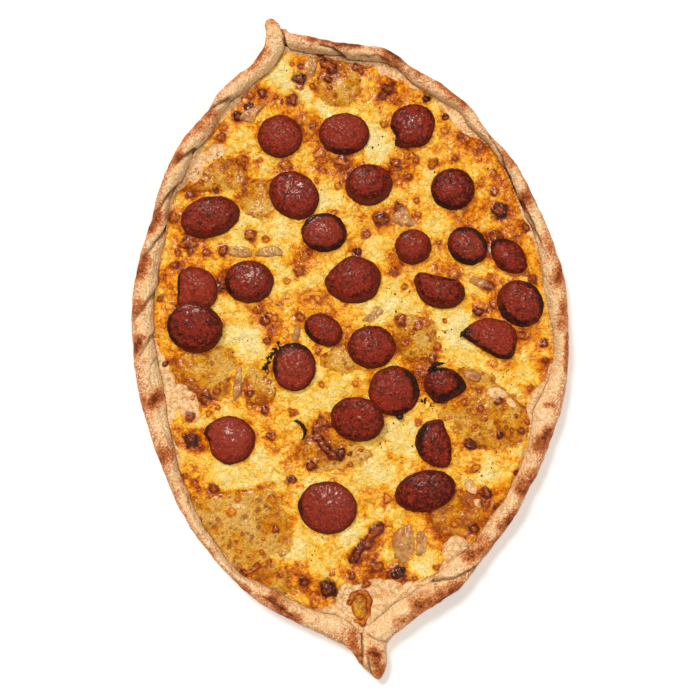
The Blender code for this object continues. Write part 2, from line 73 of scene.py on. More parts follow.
# Stations round the rim, clockwise from the tip of the horn: the fold line where the roll
# meets the filling (x, y), then the outer edge (x, y).
RIM_LINES = (
    (-32.4, 150.6, -39.8, 164.8), (-31.7, 151, -36.3, 163), (-31.2, 150.9, -33.3, 160.2),
    (-29.8, 150.3, -29, 157.5), (-24, 148.7, -20.5, 156), (-15, 147.3, -9.5, 153.6),
    (-5, 146.2, 0.3, 152.2), (5, 144, 10, 151), (14, 143.4, 18.8, 149.3), (21, 141, 25.4, 145.4),
    (26.5, 137, 31.5, 140.3), (33, 131, 41, 135.3), (44.5, 124.2, 52.5, 127.6), (53.8, 118.8, 61.8, 119),
    (59.6, 110.8, 69.2, 108.2), (68.4, 102.3, 77.6, 98.9), (75.6, 92, 85.2, 88.4), (80.3, 82, 91.4, 76.4),
    (85.6, 70, 96.9, 65.2), (91, 58.5, 102.4, 50.4), (94.6, 46, 105.8, 40.4), (96.6, 31, 108.3, 25.6),
    (99.8, 15.5, 109.1, 9.6), (101.4, 1, 108.9, -6), (99, -12, 107.4, -21), (95.2, -21.5, 104.6, -32.6),
    (91, -29, 101.2, -42), (90, -38, 97.9, -50.4), (87.6, -49.5, 93.7, -61.5), (83, -61.5, 88, -71.6),
    (77, -73.5, 82, -84), (69, -84.2, 73.6, -94.9), (60, -96.8, 64.2, -107.3), (50.5, -104.6, 56, -117.8),
    (42, -113, 47, -124.8), (32, -120.2, 36.5, -130.9), (21, -126.8, 27, -138.6),
    (12.5, -134, 20.6, -144.2), (8.2, -138, 18.2, -149), (6.6, -139.8, 18.2, -157.6),
    (5.9, -140.5, 14.8, -164.8), (5.1, -140.5, 9.6, -161.4), (4, -139.4, 4.6, -157),
    (0.4, -136, 0.2, -149.5), (-6, -132.4, -10.5, -144), (-16, -130, -25, -136.8), (-24, -127, -36, -131.1),
    (-32.5, -121.9, -46.4, -125), (-44, -116.4, -56.6, -116.4), (-55, -110.4, -66.4, -105.6),
    (-64, -100.2, -75.2, -94.6), (-71.5, -89.6, -82.4, -84), (-77.5, -78, -88.4, -72),
    (-83, -65.5, -93.4, -58.6), (-86.8, -52, -99, -44.4), (-89.6, -38.5, -103.2, -29.4),
    (-91.8, -24, -106.8, -13), (-94.6, -9, -108.6, 3.6), (-97.2, 5, -109.1, 17.6),
    (-97.6, 18, -107.6, 32.2), (-96, 33, -103.8, 49.6), (-93.4, 48.5, -99.4, 65), (-91, 62, -95.2, 79.2),
    (-88.6, 76, -90.6, 92), (-82.4, 87, -85, 102.6), (-77.6, 97.6, -78, 111.6), (-69.8, 106, -71, 119.4),
    (-65.4, 114.6, -65.8, 127.6), (-57.8, 124.6, -58, 135.2), (-46.6, 133.4, -49.2, 142.2),
    (-38.4, 140.2, -43.4, 150.2), (-34.4, 146.4, -41.9, 156.8), (-33.2, 149.4, -42.1, 162.4),
)

# Section of the rolled rim: (share of the way from the fold to the outer edge, share of the
# crest's height), from the foot, over the crest and down behind the filling.
RIM_SECTION = (
    (0.86, 0.00), (0.93, 0.02), (0.975, 0.12), (1.00, 0.36), (0.975, 0.62), (0.88, 0.84), (0.69, 0.97),
    (0.48, 1.00), (0.28, 0.95), (0.12, 0.82), (0.02, 0.66), (0.04, 0.54), (0.13, 0.46), (0.10, 0.36),
)

# Creases of the folds: points of each line, depth, half width, and how far the dough to the
# left of the line stands over the dough to its right.
CREASES = (
    (((-33.7, 161), (-33.2, 155.5), (-31.6, 150.5)), 3, 0.75, 0.9),
    (((-71, 119), (-66, 121.3), (-59.5, 124.4)), 2, 0.9, 1.3),
    (((-85.5, 92.6), (-81, 96.4), (-76.5, 99.5)), 2, 0.9, 1.2),
    (((-99.8, 66), (-94, 71), (-89.5, 76.5), (-85, 83)), 1.7, 0.8, 1.1),
    (((-102.8, 46), (-97.5, 51.5), (-93.5, 56.5), (-91, 61)), 1.5, 0.9, 1.1),
    (((-107.5, 14.5), (-102, 20.5), (-98.5, 25), (-96.5, 29.5)), 1.2, 0.9, 0.9),
    (((-104.5, -3), (-99.5, 3.5), (-97, 9.5)), 1.1, 0.9, 0.8),
    (((-98, -19), (-99.2, -14.5), (-98.6, -9), (-96, -4)), 0.9, 0.6, 0.2),
    (((-14.5, 150.2), (-8.5, 148.9), (-2.5, 145.2)), 1.9, 0.7, 1),
    (((5, 145.3), (13, 145.6), (19, 142.9)), 0.9, 0.6, 0.5),
    (((69, 108), (70.3, 102.5), (75.2, 95.8), (78, 88), (81.5, 80.5)), 1.5, 0.7, 0.8),
    (((81.5, 80.5), (84.5, 73), (88.8, 66.5), (91.3, 60), (94.6, 53)), 1.4, 0.7, 0.7),
    (((40, -114.3), (47, -113.6), (55, -111.4), (64, -107)), 2.1, 0.8, 1.2),
    (((5.5, -139.6), (6.2, -146), (6.4, -152), (5.6, -158.5)), 2, 0.6, 0.8),
    (((9.2, -152.5), (9.4, -157), (10.4, -162)), 1.5, 0.7, 0.3),
    (((8.6, -141.2), (14, -144), (18.5, -145.2)), 1.1, 0.7, 0.3),
    (((-43, -121.8), (-36, -126.4), (-29.5, -131.6)), 1.5, 0.7, 0.5),
    (((-2.6, -139.5), (-4.6, -143), (-2.4, -146.8)), 0.8, 0.6, 0.2),
    (((34, 134.6), (36, 133.2), (37.5, 134.6)), 0.8, 0.5, 0.1),
)

# Scorch marks on the rim: from (x, y) to (x, y), half width and strength.
SCORCHES = (
    (-41, 163, -38, 163.6, 2.2, 0.45), (-49.5, 142, -43.5, 148, 2.4, 0.75), (-60, 133, -54, 137, 1.6, 0.35),
    (-76, 111, -69, 117, 2.6, 0.70), (-82, 105, -78, 109, 1.6, 0.45), (-89.5, 92, -85.5, 96.5, 2, 0.85),
    (-95, 78, -92, 85, 1.3, 0.35), (-99, 61, -95.5, 66, 2.6, 0.80), (-104, 38, -101.5, 44.5, 2.3, 0.95),
    (-107, 19.5, -104.5, 22.5, 2.2, 0.85), (-106.8, 0.5, -104.6, 4.5, 2.3, 0.90),
    (-101.5, -5.5, -100.5, -5, 1, 0.50), (-103.5, -29, -102.5, -25, 1.6, 0.75),
    (-98, -27, -95.5, -22.5, 2.3, 0.95), (-96, -55, -92, -51.5, 2.8, 0.80),
    (-86, -74, -84.5, -70, 1.2, 0.40), (-75.5, -95.5, -68, -100.5, 1.6, 0.50),
    (-57, -116, -51, -119.5, 1.8, 0.60), (-39, -122.5, -33.5, -127.5, 2.4, 0.85),
    (-34, -130.5, -27, -133, 2.2, 0.85), (1, -141, 4, -153, 1.9, 0.75), (11, -150, 13.5, -152, 2, 1.00),
    (13, -154, 15.5, -162, 2.3, 0.70), (23.5, -135, 31, -132.5, 2, 0.55), (34, -126, 53, -118.5, 3, 0.85),
    (44, -124.5, 52, -121, 1.6, 0.95), (59.5, -102, 68.5, -96, 3, 0.75), (68.5, -97.5, 72, -94, 1.6, 0.60),
    (75.5, -87.5, 81, -81.5, 2.2, 0.80), (85, -68.5, 90, -63, 2.7, 0.95), (94, -47, 98.5, -41.5, 2.7, 0.90),
    (97, -27.5, 101, -27, 1.2, 0.55), (107.2, -10, 107.5, 8, 1.1, 0.65), (104.5, 12, 106, 22, 2, 0.65),
    (102, 34.5, 105.5, 42, 2.3, 0.80), (97, 55, 100.5, 48, 2, 0.45), (86.5, 73.5, 89.5, 78, 2.7, 1.00),
    (76.5, 96.5, 80.5, 92, 1.9, 0.70), (88.5, 82.5, 91.5, 74.5, 1.4, 0.55),
    (44, 132.5, 57.5, 121.5, 1.6, 0.70), (30.5, 139, 34.5, 136.8, 1.6, 0.70),
    (19, 147.3, 25, 144, 2.6, 0.95), (-7, 151, 3.5, 150.5, 1.6, 0.90), (-20, 154, -8, 152, 1.5, 0.60),
)

# Sausage slices: centre (x, y); outline about it, as an ellipse (two half widths and a turn) or
# as points; tilt (rise and its direction in degrees); the wall that shows (dx, dy); and each
# charred stretch of the edge (direction in degrees, half angle, width).
SAUSAGE_SLICES = (
    (-34.8, 106, (11.3, 10.7, 0), (0, 0), (-0.5, -1), ()),
    (-2.8, 107.2, (12.8, 10.4, 0), (0.8, 80), (0.6, -1.4), ((268, 40, 0.8),)),
    (31.2, 111.2, ((11, 1), (8.6, 8), (1, 10.9), (-8, 8), (-11.2, 0.6), (-8.6, -5), (-8.6, -9.6), (-1, -11),
        (7.4, -8.4)), (0, 0), (0, -0.8), ((200, 34, 1.2),)),
    (-27.8, 76.8, (13.4, 11.2, -38), (0.7, 110), (-0.6, -1.5), ()),
    (9.4, 81.9, (11.9, 10.2, 8), (1, 100), (0.7, -3.2), ()),
    (51, 79.8, (11.1, 10.4, 0), (0, 0), (-0.4, -0.9), ((250, 60, 0.8),)),
    (-69.4, 66, (15.1, 10.2, 16), (0.8, 130), (2.2, -1.6), ()),
    (-12.8, 58.2, (11.4, 9.8, 0), (0, 0), (0.5, -1.2), ((90, 100, 1.5), (285, 70, 1.4))),
    (31.4, 51.2, (9.2, 8.8, 0), (0.6, 90), (0.4, -1.8), ()),
    (58.4, 51.6, (10.5, 9.2, -35), (0.5, 200), (-0.6, -0.8), ((60, 80, 2.6), (265, 75, 2))),
    (78.6, 46.6, ((9.2, -3), (6.6, 4), (0, 8.4), (-7.6, 7.4), (-8.4, 0.6), (-4.6, -6), (2, -8.6),
        (8, -7.6)), (0, 0), (-0.4, -0.4), ((120, 40, 1.4),)),
    (1.6, 34.8, ((14, 1.6), (9.6, 8.8), (0, 11.6), (-7, 8.2), (-14.4, -0.6), (-9.2, -8.8), (0, -11.8),
        (10.2, -8.8)), (0.9, 80), (1.2, -2.8), ()),
    (-50, 33.8, (12.3, 10.7, 0), (0.8, 110), (1.6, -1.6), ((200, 30, 1.4),)),
    (-75.8, 31.6, ((9.6, -1), (6.8, 6.4), (-2, 9.6), (-9, 6.6), (-9.8, -3), (-9.2, -9.6), (-0.6, -11.2),
        (8, -9)), (0, 0), (0, 0), ((180, 40, 0.8),)),
    (44.4, 29, ((13, -1.4), (10.6, 4.4), (3.6, 6.6), (-4.6, 8.4), (-10.4, 9.2), (-12.8, 4.8), (-8.6, -4.4),
        (0.6, -8.8), (9.2, -7)), (0.8, 80), (0.5, -2.6), ((50, 26, 1.2),)),
    (84.6, 23, (12.4, 11, -45), (0.6, 30), (-1.3, -1.2), ((25, 62, 2.4), (240, 60, 1.8))),
    (-76.8, 11, (13.9, 12.6, -10), (4, 88), (1, -1.1), ((190, 40, 1),)),
    (70.2, 5.2, ((13, 0.4), (9.4, 7.4), (0, 10.6), (-8.6, 8.4), (-14.6, 2.8), (-8, -2.8), (1.4, -8.6),
        (9.8, -9.4)), (0.7, 150), (0.2, -1), ((175, 24, 3.4), (275, 70, 1.3))),
    (-13.2, 9.8, (10.2, 7.6, -28), (0.4, 60), (-0.6, -0.9), ((215, 50, 1),)),
    (10.6, 1.4, (12.1, 10.9, 0), (0, 0), (-0.6, -1), ()),
    (-27.6, -8.4, (10.9, 12.2, 0), (0.5, 300), (0.6, -0.5), ((95, 62, 2.7), (180, 34, 2))),
    (22, -20.4, (12.8, 12.6, 0), (1, 135), (1.7, -0.4), ((20, 48, 1.4), (290, 22, 1.8))),
    (46.6, -16.8, ((11.4, -1.4), (5.4, 6.6), (-2.4, 8), (-8.8, 4.6), (-9.6, -2.6), (-3.6, -9.6),
        (4.6, -7.2)), (1, 140), (1.2, -2.2), ((355, 40, 2.6), (110, 40, 2.2), (270, 60, 1.6))),
    (3.6, -34.4, (13.5, 11.2, -12), (4.2, 38), (0.2, -1.1), ()),
    (-59.4, -45, ((12.6, 1.4), (8, 9.4), (-1, 12.4), (-9.4, 8.8), (-13.2, 3.6), (-10.6, -1), (-8.8, -7.4),
        (-1.6, -12), (8.6, -8.8)), (0.7, 160), (0.7, -1), ((165, 22, 1.6),)),
    (41.4, -46.6, ((8.6, 0.4), (5.6, 8.6), (3.6, 12.2), (-4.4, 10.2), (-9.2, 2), (-6.4, -7), (0.6, -11.4),
        (8, -10.6)), (0, 0), (-1.5, 0.3), ((160, 62, 2.2),)),
    (37.4, -70.2, (15.5, 10.4, 12), (0.6, 90), (-0.4, -1.2), ()),
    (-11.2, -78.4, (14.8, 13.3, -12), (0.5, 70), (-0.6, -0.9), ((180, 20, 1),)),
)

# How pale the meat of each sausage slice is, from 0 deep red-brown to 1 pinkish.
PALENESS = (
    0.7, 0.8, 0.4, 0.5, 0.4, 0.15, 0.5, 0.7, 0.7, 0.6, 0.4, 0.5, 0.5, 0.85, 0.35, 0.5, 0.2, 0.8, 0.55, 0.45,
    0.8, 0.55, 0.35, 0.4, 1, 0.3, 0.1, 0.75,
)

# Sausage slices whose grain runs clearly in circles, and slices with a pool of oil on them.
SWIRLED = (7, 13, 16, 20, 22, 24)
SHINY = (3, 4, 8, 10, 13, 17, 25, 28)

# Potato slices: centre and the points of the outline from it, counterclockwise.
POTATO_SLICES = (
    (-6, 132.6, ((11, 0), (7.6, 8.8), (-1, 11.4), (-8.8, 5.6), (-10.6, -2.4), (-5, -10.4), (6, -9.6))),
    (-67, 86.4, ((16.6, -1.2), (9.6, 7.6), (1, 8.2), (-9, -0.4), (-15.4, -6.6), (-4, -7.8), (8.6, -7.2))),
    (-44.6, 75.8, ((9.4, 1.4), (5.6, 8.6), (-4.4, 7.6), (-9.4, 1), (-7.4, -6.6), (1.6, -9), (8.4, -5.4))),
    (32.4, 5.4, ((11.4, 0.4), (6.4, 10.2), (-4, 12.2), (-11.6, 7.4), (-10.4, -3.8), (-1.8, -11.2),
        (8.2, -8.8))),
    (-73.6, -12.4, ((15, 2), (13, 13), (-2, 13.2), (-13.4, 6.4), (-12, -3.6), (-2, -9.8), (9.2, -12.4))),
    (-45, -18, ((8.6, 1), (4.6, 9.2), (-4.6, 9), (-6.8, 0), (-4.8, -9), (5.4, -8.4))),
    (69.4, -33.6, ((19.2, -3.4), (15.8, 6.8), (4.4, 15.4), (-8.8, 13.2), (-18, 3.2), (-16.2, -9.4),
        (-3, -16.2), (11.8, -14))),
    (-53, -86.6, ((21.6, -4), (16, 18.4), (-2, 15.6), (-18.6, 14.2), (-18.2, 4.8), (-7, -12.6),
        (2.6, -21.4), (13.6, -17.4))),
    (-38, -111.6, ((7.4, 0.4), (2.4, 5), (-6.8, 1.8), (-8.6, -2), (1.8, -6.4), (6, -6.2))),
    (-6, -53, ((16.6, 1), (9.4, 5.4), (-4, 10.6), (-16, 8.4), (-20.6, 0), (-10, -7.6), (7.8, -5.2))),
    (53.4, -82.6, ((13.2, 4.2), (5, 13.6), (-7, 9.6), (-14.2, 3.6), (-12.4, -7.8), (-1.6, -9.6),
        (6.8, -6.8))),
    (4.6, -127.6, ((3.9, 1), (1.6, 6), (-3.2, 4.2), (-3.6, -2.4), (-0.4, -6.6), (3, -4.2))),
    (-4.8, -4.6, ((7.8, 2.4), (2, 7.8), (-7.4, 4.2), (-8, -3.2), (-0.6, -7), (6.4, -4.4))),
)

# Onion strips: centre and the points of the outline from it, counterclockwise.
ONION_STRIPS = (
    (-48.4, 117.6, ((2.6, 0.4), (7, 4.8), (0, 3.4), (-7.2, -0.8), (-5.6, -4), (0.6, -4.4))),
    (-18.4, 140.8, ((2.4, 1.6), (1.4, 4.8), (-2.6, 4.4), (-5.4, 0.6), (-3.2, -5.2), (0.6, -4))),
    (27, 66, ((6.6, -3.6), (3.2, 1), (-0.2, 6), (-4, 2.6), (-7, -0.8), (-1.6, -4.4))),
    (-54.6, 48.6, ((5.8, -1.6), (3.2, 2.8), (-2.4, 3.4), (-6, -0.2), (-1.6, -2.8))),
    (-40.6, 48.8, ((6.6, -1.6), (5.4, 2.6), (-0.6, 2.8), (-7, -0.8), (-1, -2.4))),
    (64.6, 34.4, ((7.4, -4), (3.2, 0.6), (-4.4, 2.6), (-6, 0.2), (-0.8, -3.4))),
    (12, 18.2, ((5.2, 1.2), (1.2, 4.2), (-2.6, 0.6), (-5.6, -3.6), (-0.6, -4.4))),
    (60.6, -12.8, ((4.8, 0.6), (0.4, 2.8), (-4.6, 2.2), (-3.4, -1), (2.6, -3))),
    (-56, -16, ((2.2, 5.6), (0.6, 8.6), (-1.4, 3), (-2.6, -6.4), (-0.4, -9.2), (2.2, -3.6))),
    (28, -95.6, ((4.6, 1), (3, 9.4), (-4.2, 6.8), (-6.2, -1.8), (-3, -9.8), (2.8, -8.4))),
    (36.2, -95.4, ((2.2, 2.6), (0.2, 5.8), (-3.4, 5.4), (-3.6, -0.6), (-3.6, -6.6), (0.4, -6.8),
        (2.2, -3))),
    (-26.2, 7.6, ((1.4, 2.4), (0.4, 5.2), (-2, 1.6), (-2.6, -3), (0.4, -2.6))),
)

# Browning of the cheese: (x, y, radius, level), from 0 pale cream to 1 deep brown.
TONE_PATCHES = (
    (-35, 137, 7, 0.15), (-28, 147, 4, 0.50), (-14, 123, 7, 0.12), (-55, 102, 8, 0.15), (-44, 124, 9, 0.62),
    (-48, 111, 6, 0.50), (-20, 113, 6, 0.72), (18, 128, 9, 0.66), (8, 118, 7, 0.28), (24, 120, 5, 0.45),
    (62, 100, 13, 0.56), (58, 88, 8, 0.50), (74, 82, 9, 0.46), (48, 100, 7, 0.42), (13, 102, 9, 0.14),
    (-40, 98, 8, 0.25), (-64, 108, 6, 0.62), (-86, 62, 6, 0.50), (-52, 90, 7, 0.60), (-5, 93, 7, 0.72),
    (-13, 76, 7, 0.16), (-46, 62, 9, 0.16), (-28, 66, 6, 0.22), (30, 97, 6, 0.55), (24, 88, 6, 0.55),
    (30, 76, 6, 0.36), (16, 64, 7, 0.50), (10, 70, 5, 0.30), (5, 60, 6, 0.42), (45, 64, 6, 0.30),
    (56, 67, 6, 0.50), (78, 64, 9, 0.52), (28, 66, 5, 0.60), (67, 52, 4, 0.84), (88, 52, 7, 0.60),
    (-88, 38, 7, 0.52), (-92, 20, 6, 0.56), (-78, 48, 6, 0.44), (-62, 46, 6, 0.36), (-36, 46, 7, 0.34),
    (-22, 46, 6, 0.60), (16, 48, 5, 0.42), (29, 34, 5, 0.46), (-63, 34, 4, 0.76), (-24, 31, 7, 0.28),
    (-18, 25, 6, 0.62), (-45, 18, 7, 0.62), (-38, 12, 6, 0.56), (-54, 5, 9, 0.12), (-52, -8, 5, 0.30),
    (24, 31, 8, 0.16), (17, 22, 6, 0.22), (22, 42, 6, 0.60), (52, 38, 6, 0.58), (66, 22, 7, 0.42),
    (48, 8, 9, 0.16), (56, -4, 7, 0.30), (90, 8, 8, 0.50), (96, -6, 6, 0.60), (74, -9, 8, 0.40),
    (90, -20, 7, 0.40), (-23, -22, 8, 0.14), (-10, -18, 8, 0.20), (-6, -25, 5, 0.40), (27, -42, 8, 0.22),
    (36, -30, 5, 0.40), (-47, -26, 7, 0.48), (-78, -30, 7, 0.42), (-85, -44, 6, 0.56), (-76, -46, 5, 0.66),
    (-46, -62, 11, 0.12), (-64, -60, 7, 0.16), (-80, -56, 6, 0.34), (-77, -66, 5, 0.50),
    (-34, -48, 7, 0.56), (-11, -43, 7, 0.62), (-28, -62, 5, 0.40), (10, -58, 9, 0.22), (12, -76, 6, 0.46),
    (2, -92, 7, 0.16), (-20, -96, 8, 0.14), (-14, -108, 7, 0.30), (8, -98, 6, 0.86), (13, -110, 8, 0.66),
    (-17, -123, 8, 0.54), (-26, -112, 5, 0.62), (70, -62, 6, 0.04), (17.5, -104.5, 4, 0.02),
    (-56, -90, 14, 0.10), (-37, -84, 7, 0.50), (31, -82, 6, 0.56), (62, -56, 6, 0.40), (80, -50, 7, 0.46),
    (76, -72, 7, 0.60), (64, -80, 8, 0.58), (44, -92, 6, 0.58), (34, -108, 6, 0.26), (40, -60, 8, 0.40),
    (22, -98, 6, 0.40), (-96, 0, 5, 0.60), (-90, -12, 6, 0.56), (34, -12, 5, 0.60),
)

# Browned blisters on the cheese: (x, y, radius, darkness).
BLISTERS = (
    (-25, 134.5, 3.4, 0.95), (-25.5, 131, 2, 0.6), (-18.5, 131, 1.9, 0.75), (-28.5, 124.5, 3.3, 0.8),
    (-34, 123.5, 1.1, 0.8), (-44, 127.5, 2.6, 0.85), (-50, 126, 1.8, 0.7), (-51, 121.5, 2.1, 0.95),
    (-55.5, 116, 2.6, 1), (-37, 126, 1.5, 0.6), (-24.5, 141.3, 1.8, 0.85), (-29, 142, 1.4, 0.7),
    (-13, 143, 2.6, 0.85), (-15, 147, 2, 0.7), (-9, 140, 2.7, 0.9), (-11, 135, 2.3, 0.85),
    (-22, 114, 3.6, 0.5), (-20, 109, 1.8, 0.4), (-64.5, 105.5, 2.9, 0.75), (-62, 111, 1.8, 0.6),
    (-54, 94.5, 2.8, 0.7), (-45, 94.5, 1.8, 0.5), (-32, 92, 3.2, 0.7), (-15, 98, 3.4, 0.6),
    (-13, 89, 2, 0.7), (-4, 93, 4.2, 0.72), (-8, 96, 2.8, 0.6), (-79.5, 77, 2.5, 0.8),
    (-67, 79.6, 1.8, 0.8), (-56, 76.5, 1.5, 0.6), (-6, 81.5, 2.1, 0.6), (-16.5, 84, 1.5, 0.6),
    (-8.5, 68.5, 1.5, 0.6), (-88, 66, 2.8, 0.7), (-49.5, 57, 3.3, 0.75), (-42.5, 55, 2.1, 0.6),
    (-81.5, 53, 3.2, 0.9), (-79, 49, 1.9, 0.7), (-86, 48, 1.8, 0.7), (-71.5, 48.5, 2.2, 0.75),
    (-63, 49.5, 2.6, 0.8), (-87, 42, 2.3, 0.8), (-62, 37, 2.4, 0.7), (-63.5, 32, 2.3, 0.9),
    (-23, 46.5, 2, 0.6), (-25.5, 39.5, 3, 0.7), (-31.5, 34.5, 1.9, 0.45), (-16, 26, 3.2, 0.6),
    (-21, 26.5, 2.4, 0.55), (-94.5, 26, 1.8, 0.7), (-46, 20, 2.8, 0.65), (-42, 14.5, 3, 0.8),
    (-37, 16, 2.2, 0.6), (-25, 16.5, 2.8, 0.75), (-41.5, 4.5, 2.3, 0.8), (-92, -6.5, 1.4, 0.9),
    (-42.5, -30, 2.1, 0.8), (-49.5, -21.5, 2.1, 0.8), (-46, -25, 1.8, 0.6), (-72, -24.5, 3.2, 0.85),
    (-80, -33, 2.5, 0.8), (-70.5, -31.5, 1.5, 0.6), (-28.5, -31, 2.3, 0.6), (-79, -45, 3.9, 0.95),
    (-39.5, -43, 2.4, 0.75), (-13, -36, 2.6, 0.75), (-4.4, -51.5, 2.8, 0.95), (-14, -17.5, 1.6, 0.6),
    (-16, -1, 2, 0.6), (2.5, 141, 1.9, 0.75), (5.5, 139, 1.9, 0.75), (18.5, 130, 2.8, 0.9),
    (16, 127, 2.2, 0.85), (21.5, 124.5, 1.6, 0.6), (38, 125, 2.2, 0.95), (47, 116, 1.9, 0.9),
    (46.5, 109, 1.8, 0.5), (58, 105, 2.3, 0.7), (17, 112, 2.2, 0.6), (22.5, 93, 2.8, 0.75),
    (30.5, 96.5, 2.4, 0.6), (33, 94.5, 1.8, 0.7), (41.5, 92.8, 2.5, 0.65), (52, 95.5, 1.8, 0.75),
    (65.5, 101, 1.9, 0.7), (71.5, 87.5, 2, 0.7), (65, 83.5, 2.3, 0.55), (72, 78.5, 2.1, 0.75),
    (74.5, 69, 4.4, 1), (28.5, 86.5, 2.4, 0.75), (23, 86.3, 1.7, 0.6), (33, 74.5, 1.8, 0.7),
    (24, 71, 2.5, 0.8), (15.5, 65, 4, 0.85), (34, 67.5, 1.8, 0.7), (8, 57.5, 2.4, 0.7), (54, 68, 3.4, 0.5),
    (44, 53.5, 1.6, 0.75), (72.5, 57, 3.3, 0.8), (83.5, 54, 2, 0.6), (87.5, 61, 2.4, 0.8),
    (4, 49, 2.6, 0.9), (22, 39, 2.3, 0.75), (27, 31.5, 2.1, 0.55), (51.5, 38, 3.2, 0.6),
    (69, 31.5, 2.8, 0.8), (71, 22.5, 2.2, 0.75), (64, 18.5, 2.6, 0.9), (47, 14.5, 1.2, 0.6),
    (25, 15, 3.4, 0.75), (27, 3.5, 2.1, 0.7), (43, 2, 2.1, 0.7), (41, -4.5, 2.5, 0.75), (36, -12, 2.8, 0.7),
    (72, -7, 1.9, 0.5), (85, 7, 2.2, 0.75), (96.5, 3, 2.3, 0.85), (97, -5, 1.9, 0.85),
    (89.5, -19, 1.9, 0.7), (91, 35, 2.5, 0.8), (88, 38, 1.9, 0.6), (34, -36, 2, 0.6),
    (2.5, -16.5, 1.9, 0.5), (-82.5, -62.5, 1.8, 0.7), (-68, -69, 2.8, 0.75), (-29, -64.5, 2.3, 0.85),
    (-19, -58, 2.6, 0.85), (-53.5, -111, 2.4, 0.9), (-23, -115, 2.6, 0.85), (-11, -119, 4.8, 1),
    (-9, -111, 1.5, 0.6), (1, -112, 2.1, 0.75), (13.5, -108.5, 3.2, 0.75), (24, -110.5, 3.5, 1),
    (32, -114, 1.9, 0.6), (18, -74, 2.8, 0.6), (62, -59, 2.6, 0.55), (68.5, -71.5, 2.4, 0.95),
    (66.5, -77, 2.3, 0.75), (73, -78, 1.9, 0.8), (83, -61, 1.6, 0.9), (6, -135.5, 2.3, 0.7),
    (43, -108, 1.9, 0.6), (60, -47.5, 2.7, 0.9), (-88, 24, 1.4, 0.6), (-18, -126, 2.6, 0.6),
    (8, -116, 2.6, 0.7), (0.2, -51.5, 1.3, 0.8), (56.7, -25.8, 2.4, 0.65), (64.4, -28.7, 2, 0.7),
    (62, -31, 1.4, 0.6), (67, -30.5, 1.2, 0.6), (73.8, -25.4, 2.2, 0.85), (66.9, -34.8, 1.4, 0.7),
    (74.6, -42.2, 1.8, 1), (80.4, -40.5, 1.2, 0.8), (85.3, -40.1, 1.8, 0.8), (59.1, -46.2, 2.3, 0.85),
    (64.4, -20.5, 1.4, 0.7), (61.2, -38.5, 1.4, 0.6), (82.4, -33.2, 1.4, 0.7), (88, -35.6, 1.5, 0.7),
    (89.7, -18.5, 2, 0.7), (67.7, -70.3, 2, 0.8), (60.4, -76.4, 1.6, 0.6), (62.8, -80.5, 1.4, 0.6),
    (51.8, -86.2, 2.3, 0.6), (62, -89, 2.4, 0.9), (67.7, -76.8, 1.8, 0.75), (55, -72, 1.8, 0.6),
    (-38.7, -73.6, 3, 0.55), (-59.4, -80.7, 2.4, 0.5), (-55.8, -74.3, 1.6, 0.5), (-36.9, -88.9, 2, 0.8),
    (-55, -100.4, 1.8, 0.55), (-44, -100.7, 1.4, 0.6), (-43.3, -93.6, 1, 0.6), (-40, -105.4, 1.6, 0.7),
    (-34.8, -112.2, 1.5, 0.7), (-66.5, -20.5, 1.9, 0.75), (-62, -18, 1.6, 0.6), (-72.5, -21, 2, 0.7),
    (-70.5, -26, 1.6, 0.6), (-78.5, -24, 1.3, 0.6), (-66, -29, 1.6, 0.6), (34, 12, 2.6, 0.7),
    (38, 13.5, 1.8, 0.6), (30.5, 8.5, 1.5, 0.6), (41, 8, 1.3, 0.6), (37, -3, 1.8, 0.6),
    (33, -6.5, 1.5, 0.55), (-10, 130.5, 1.5, 0.7), (-3, 137.5, 1.3, 0.6), (-74, 84, 1.5, 0.6),
    (-60, 88, 1.4, 0.55), (-50, 82, 1.2, 0.5), (0, -57, 1.5, 0.6), (-20, -50.5, 1.4, 0.6),
    (5, -50, 1.2, 0.6),
)

# Browned folds of the cheese: path, half width and darkness.
RIDGES = (
    (((-14, -34.8), (-16.8, -39), (-16.4, -43)), 2.4, 0.80),
    (((-15.4, -44), (-12.5, -48), (-8.6, -52.6)), 2.3, 0.90),
    (((15, -88), (10.6, -92), (8, -97)), 2.6, 0.85),
    (((7, -97), (4, -100), (2, -104)), 2.6, 0.90),
    (((-53.3, -110.7), (-49, -110.2), (-45.5, -107.2)), 1.4, 0.75),
    (((-24.5, 25), (-20, 28.5), (-14, 27)), 1.6, 0.5),
    (((-13, 143), (-9, 141)), 1.8, 0.8),
    (((-83.5, 52), (-80.5, 54.5), (-77.5, 52.5)), 1.8, 0.75),
    (((0.2, -125.6), (1.4, -121.6), (4.7, -120.4), (8, -121.4), (9.4, -124.7), (9.2, -131.4)), 1.5, 0.72),
    (((8.6, -132.4), (6.6, -135.2), (3.2, -135.4)), 1.2, 0.60),
)

# Lines along which the cheese is toasted: path, half width and how much more.
TOAST_LINES = (
    (((-78, -66), (-73.5, -70.1), (-64, -71.4), (-56.7, -71.2), (-45.4, -69), (-39.9, -67.3)), 1.7, 0.42),
    (((52, -24), (57, -20.5), (64, -19), (72, -22), (80, -27), (87, -34)), 1.6, 0.22),
    (((-18, 124), (-15.5, 129), (-16.5, 135), (-13, 139.5), (-7, 141)), 1.5, 0.26),
    (((-84, 80), (-76, 82), (-68, 88), (-58, 94.5)), 1.8, 0.24),
    (((-86.5, -6), (-84, -14), (-76, -21.5), (-68, -25)), 1.6, 0.24),
    (((-31, -70), (-29.5, -84), (-31, -98)), 2.2, 0.20),
    (((42, -70), (40, -86), (44, -94), (56, -94.5), (68, -84)), 1.6, 0.22),
    (((-12, -107), (4, -116.5), (16, -117), (28, -116)), 2, 0.22),
)

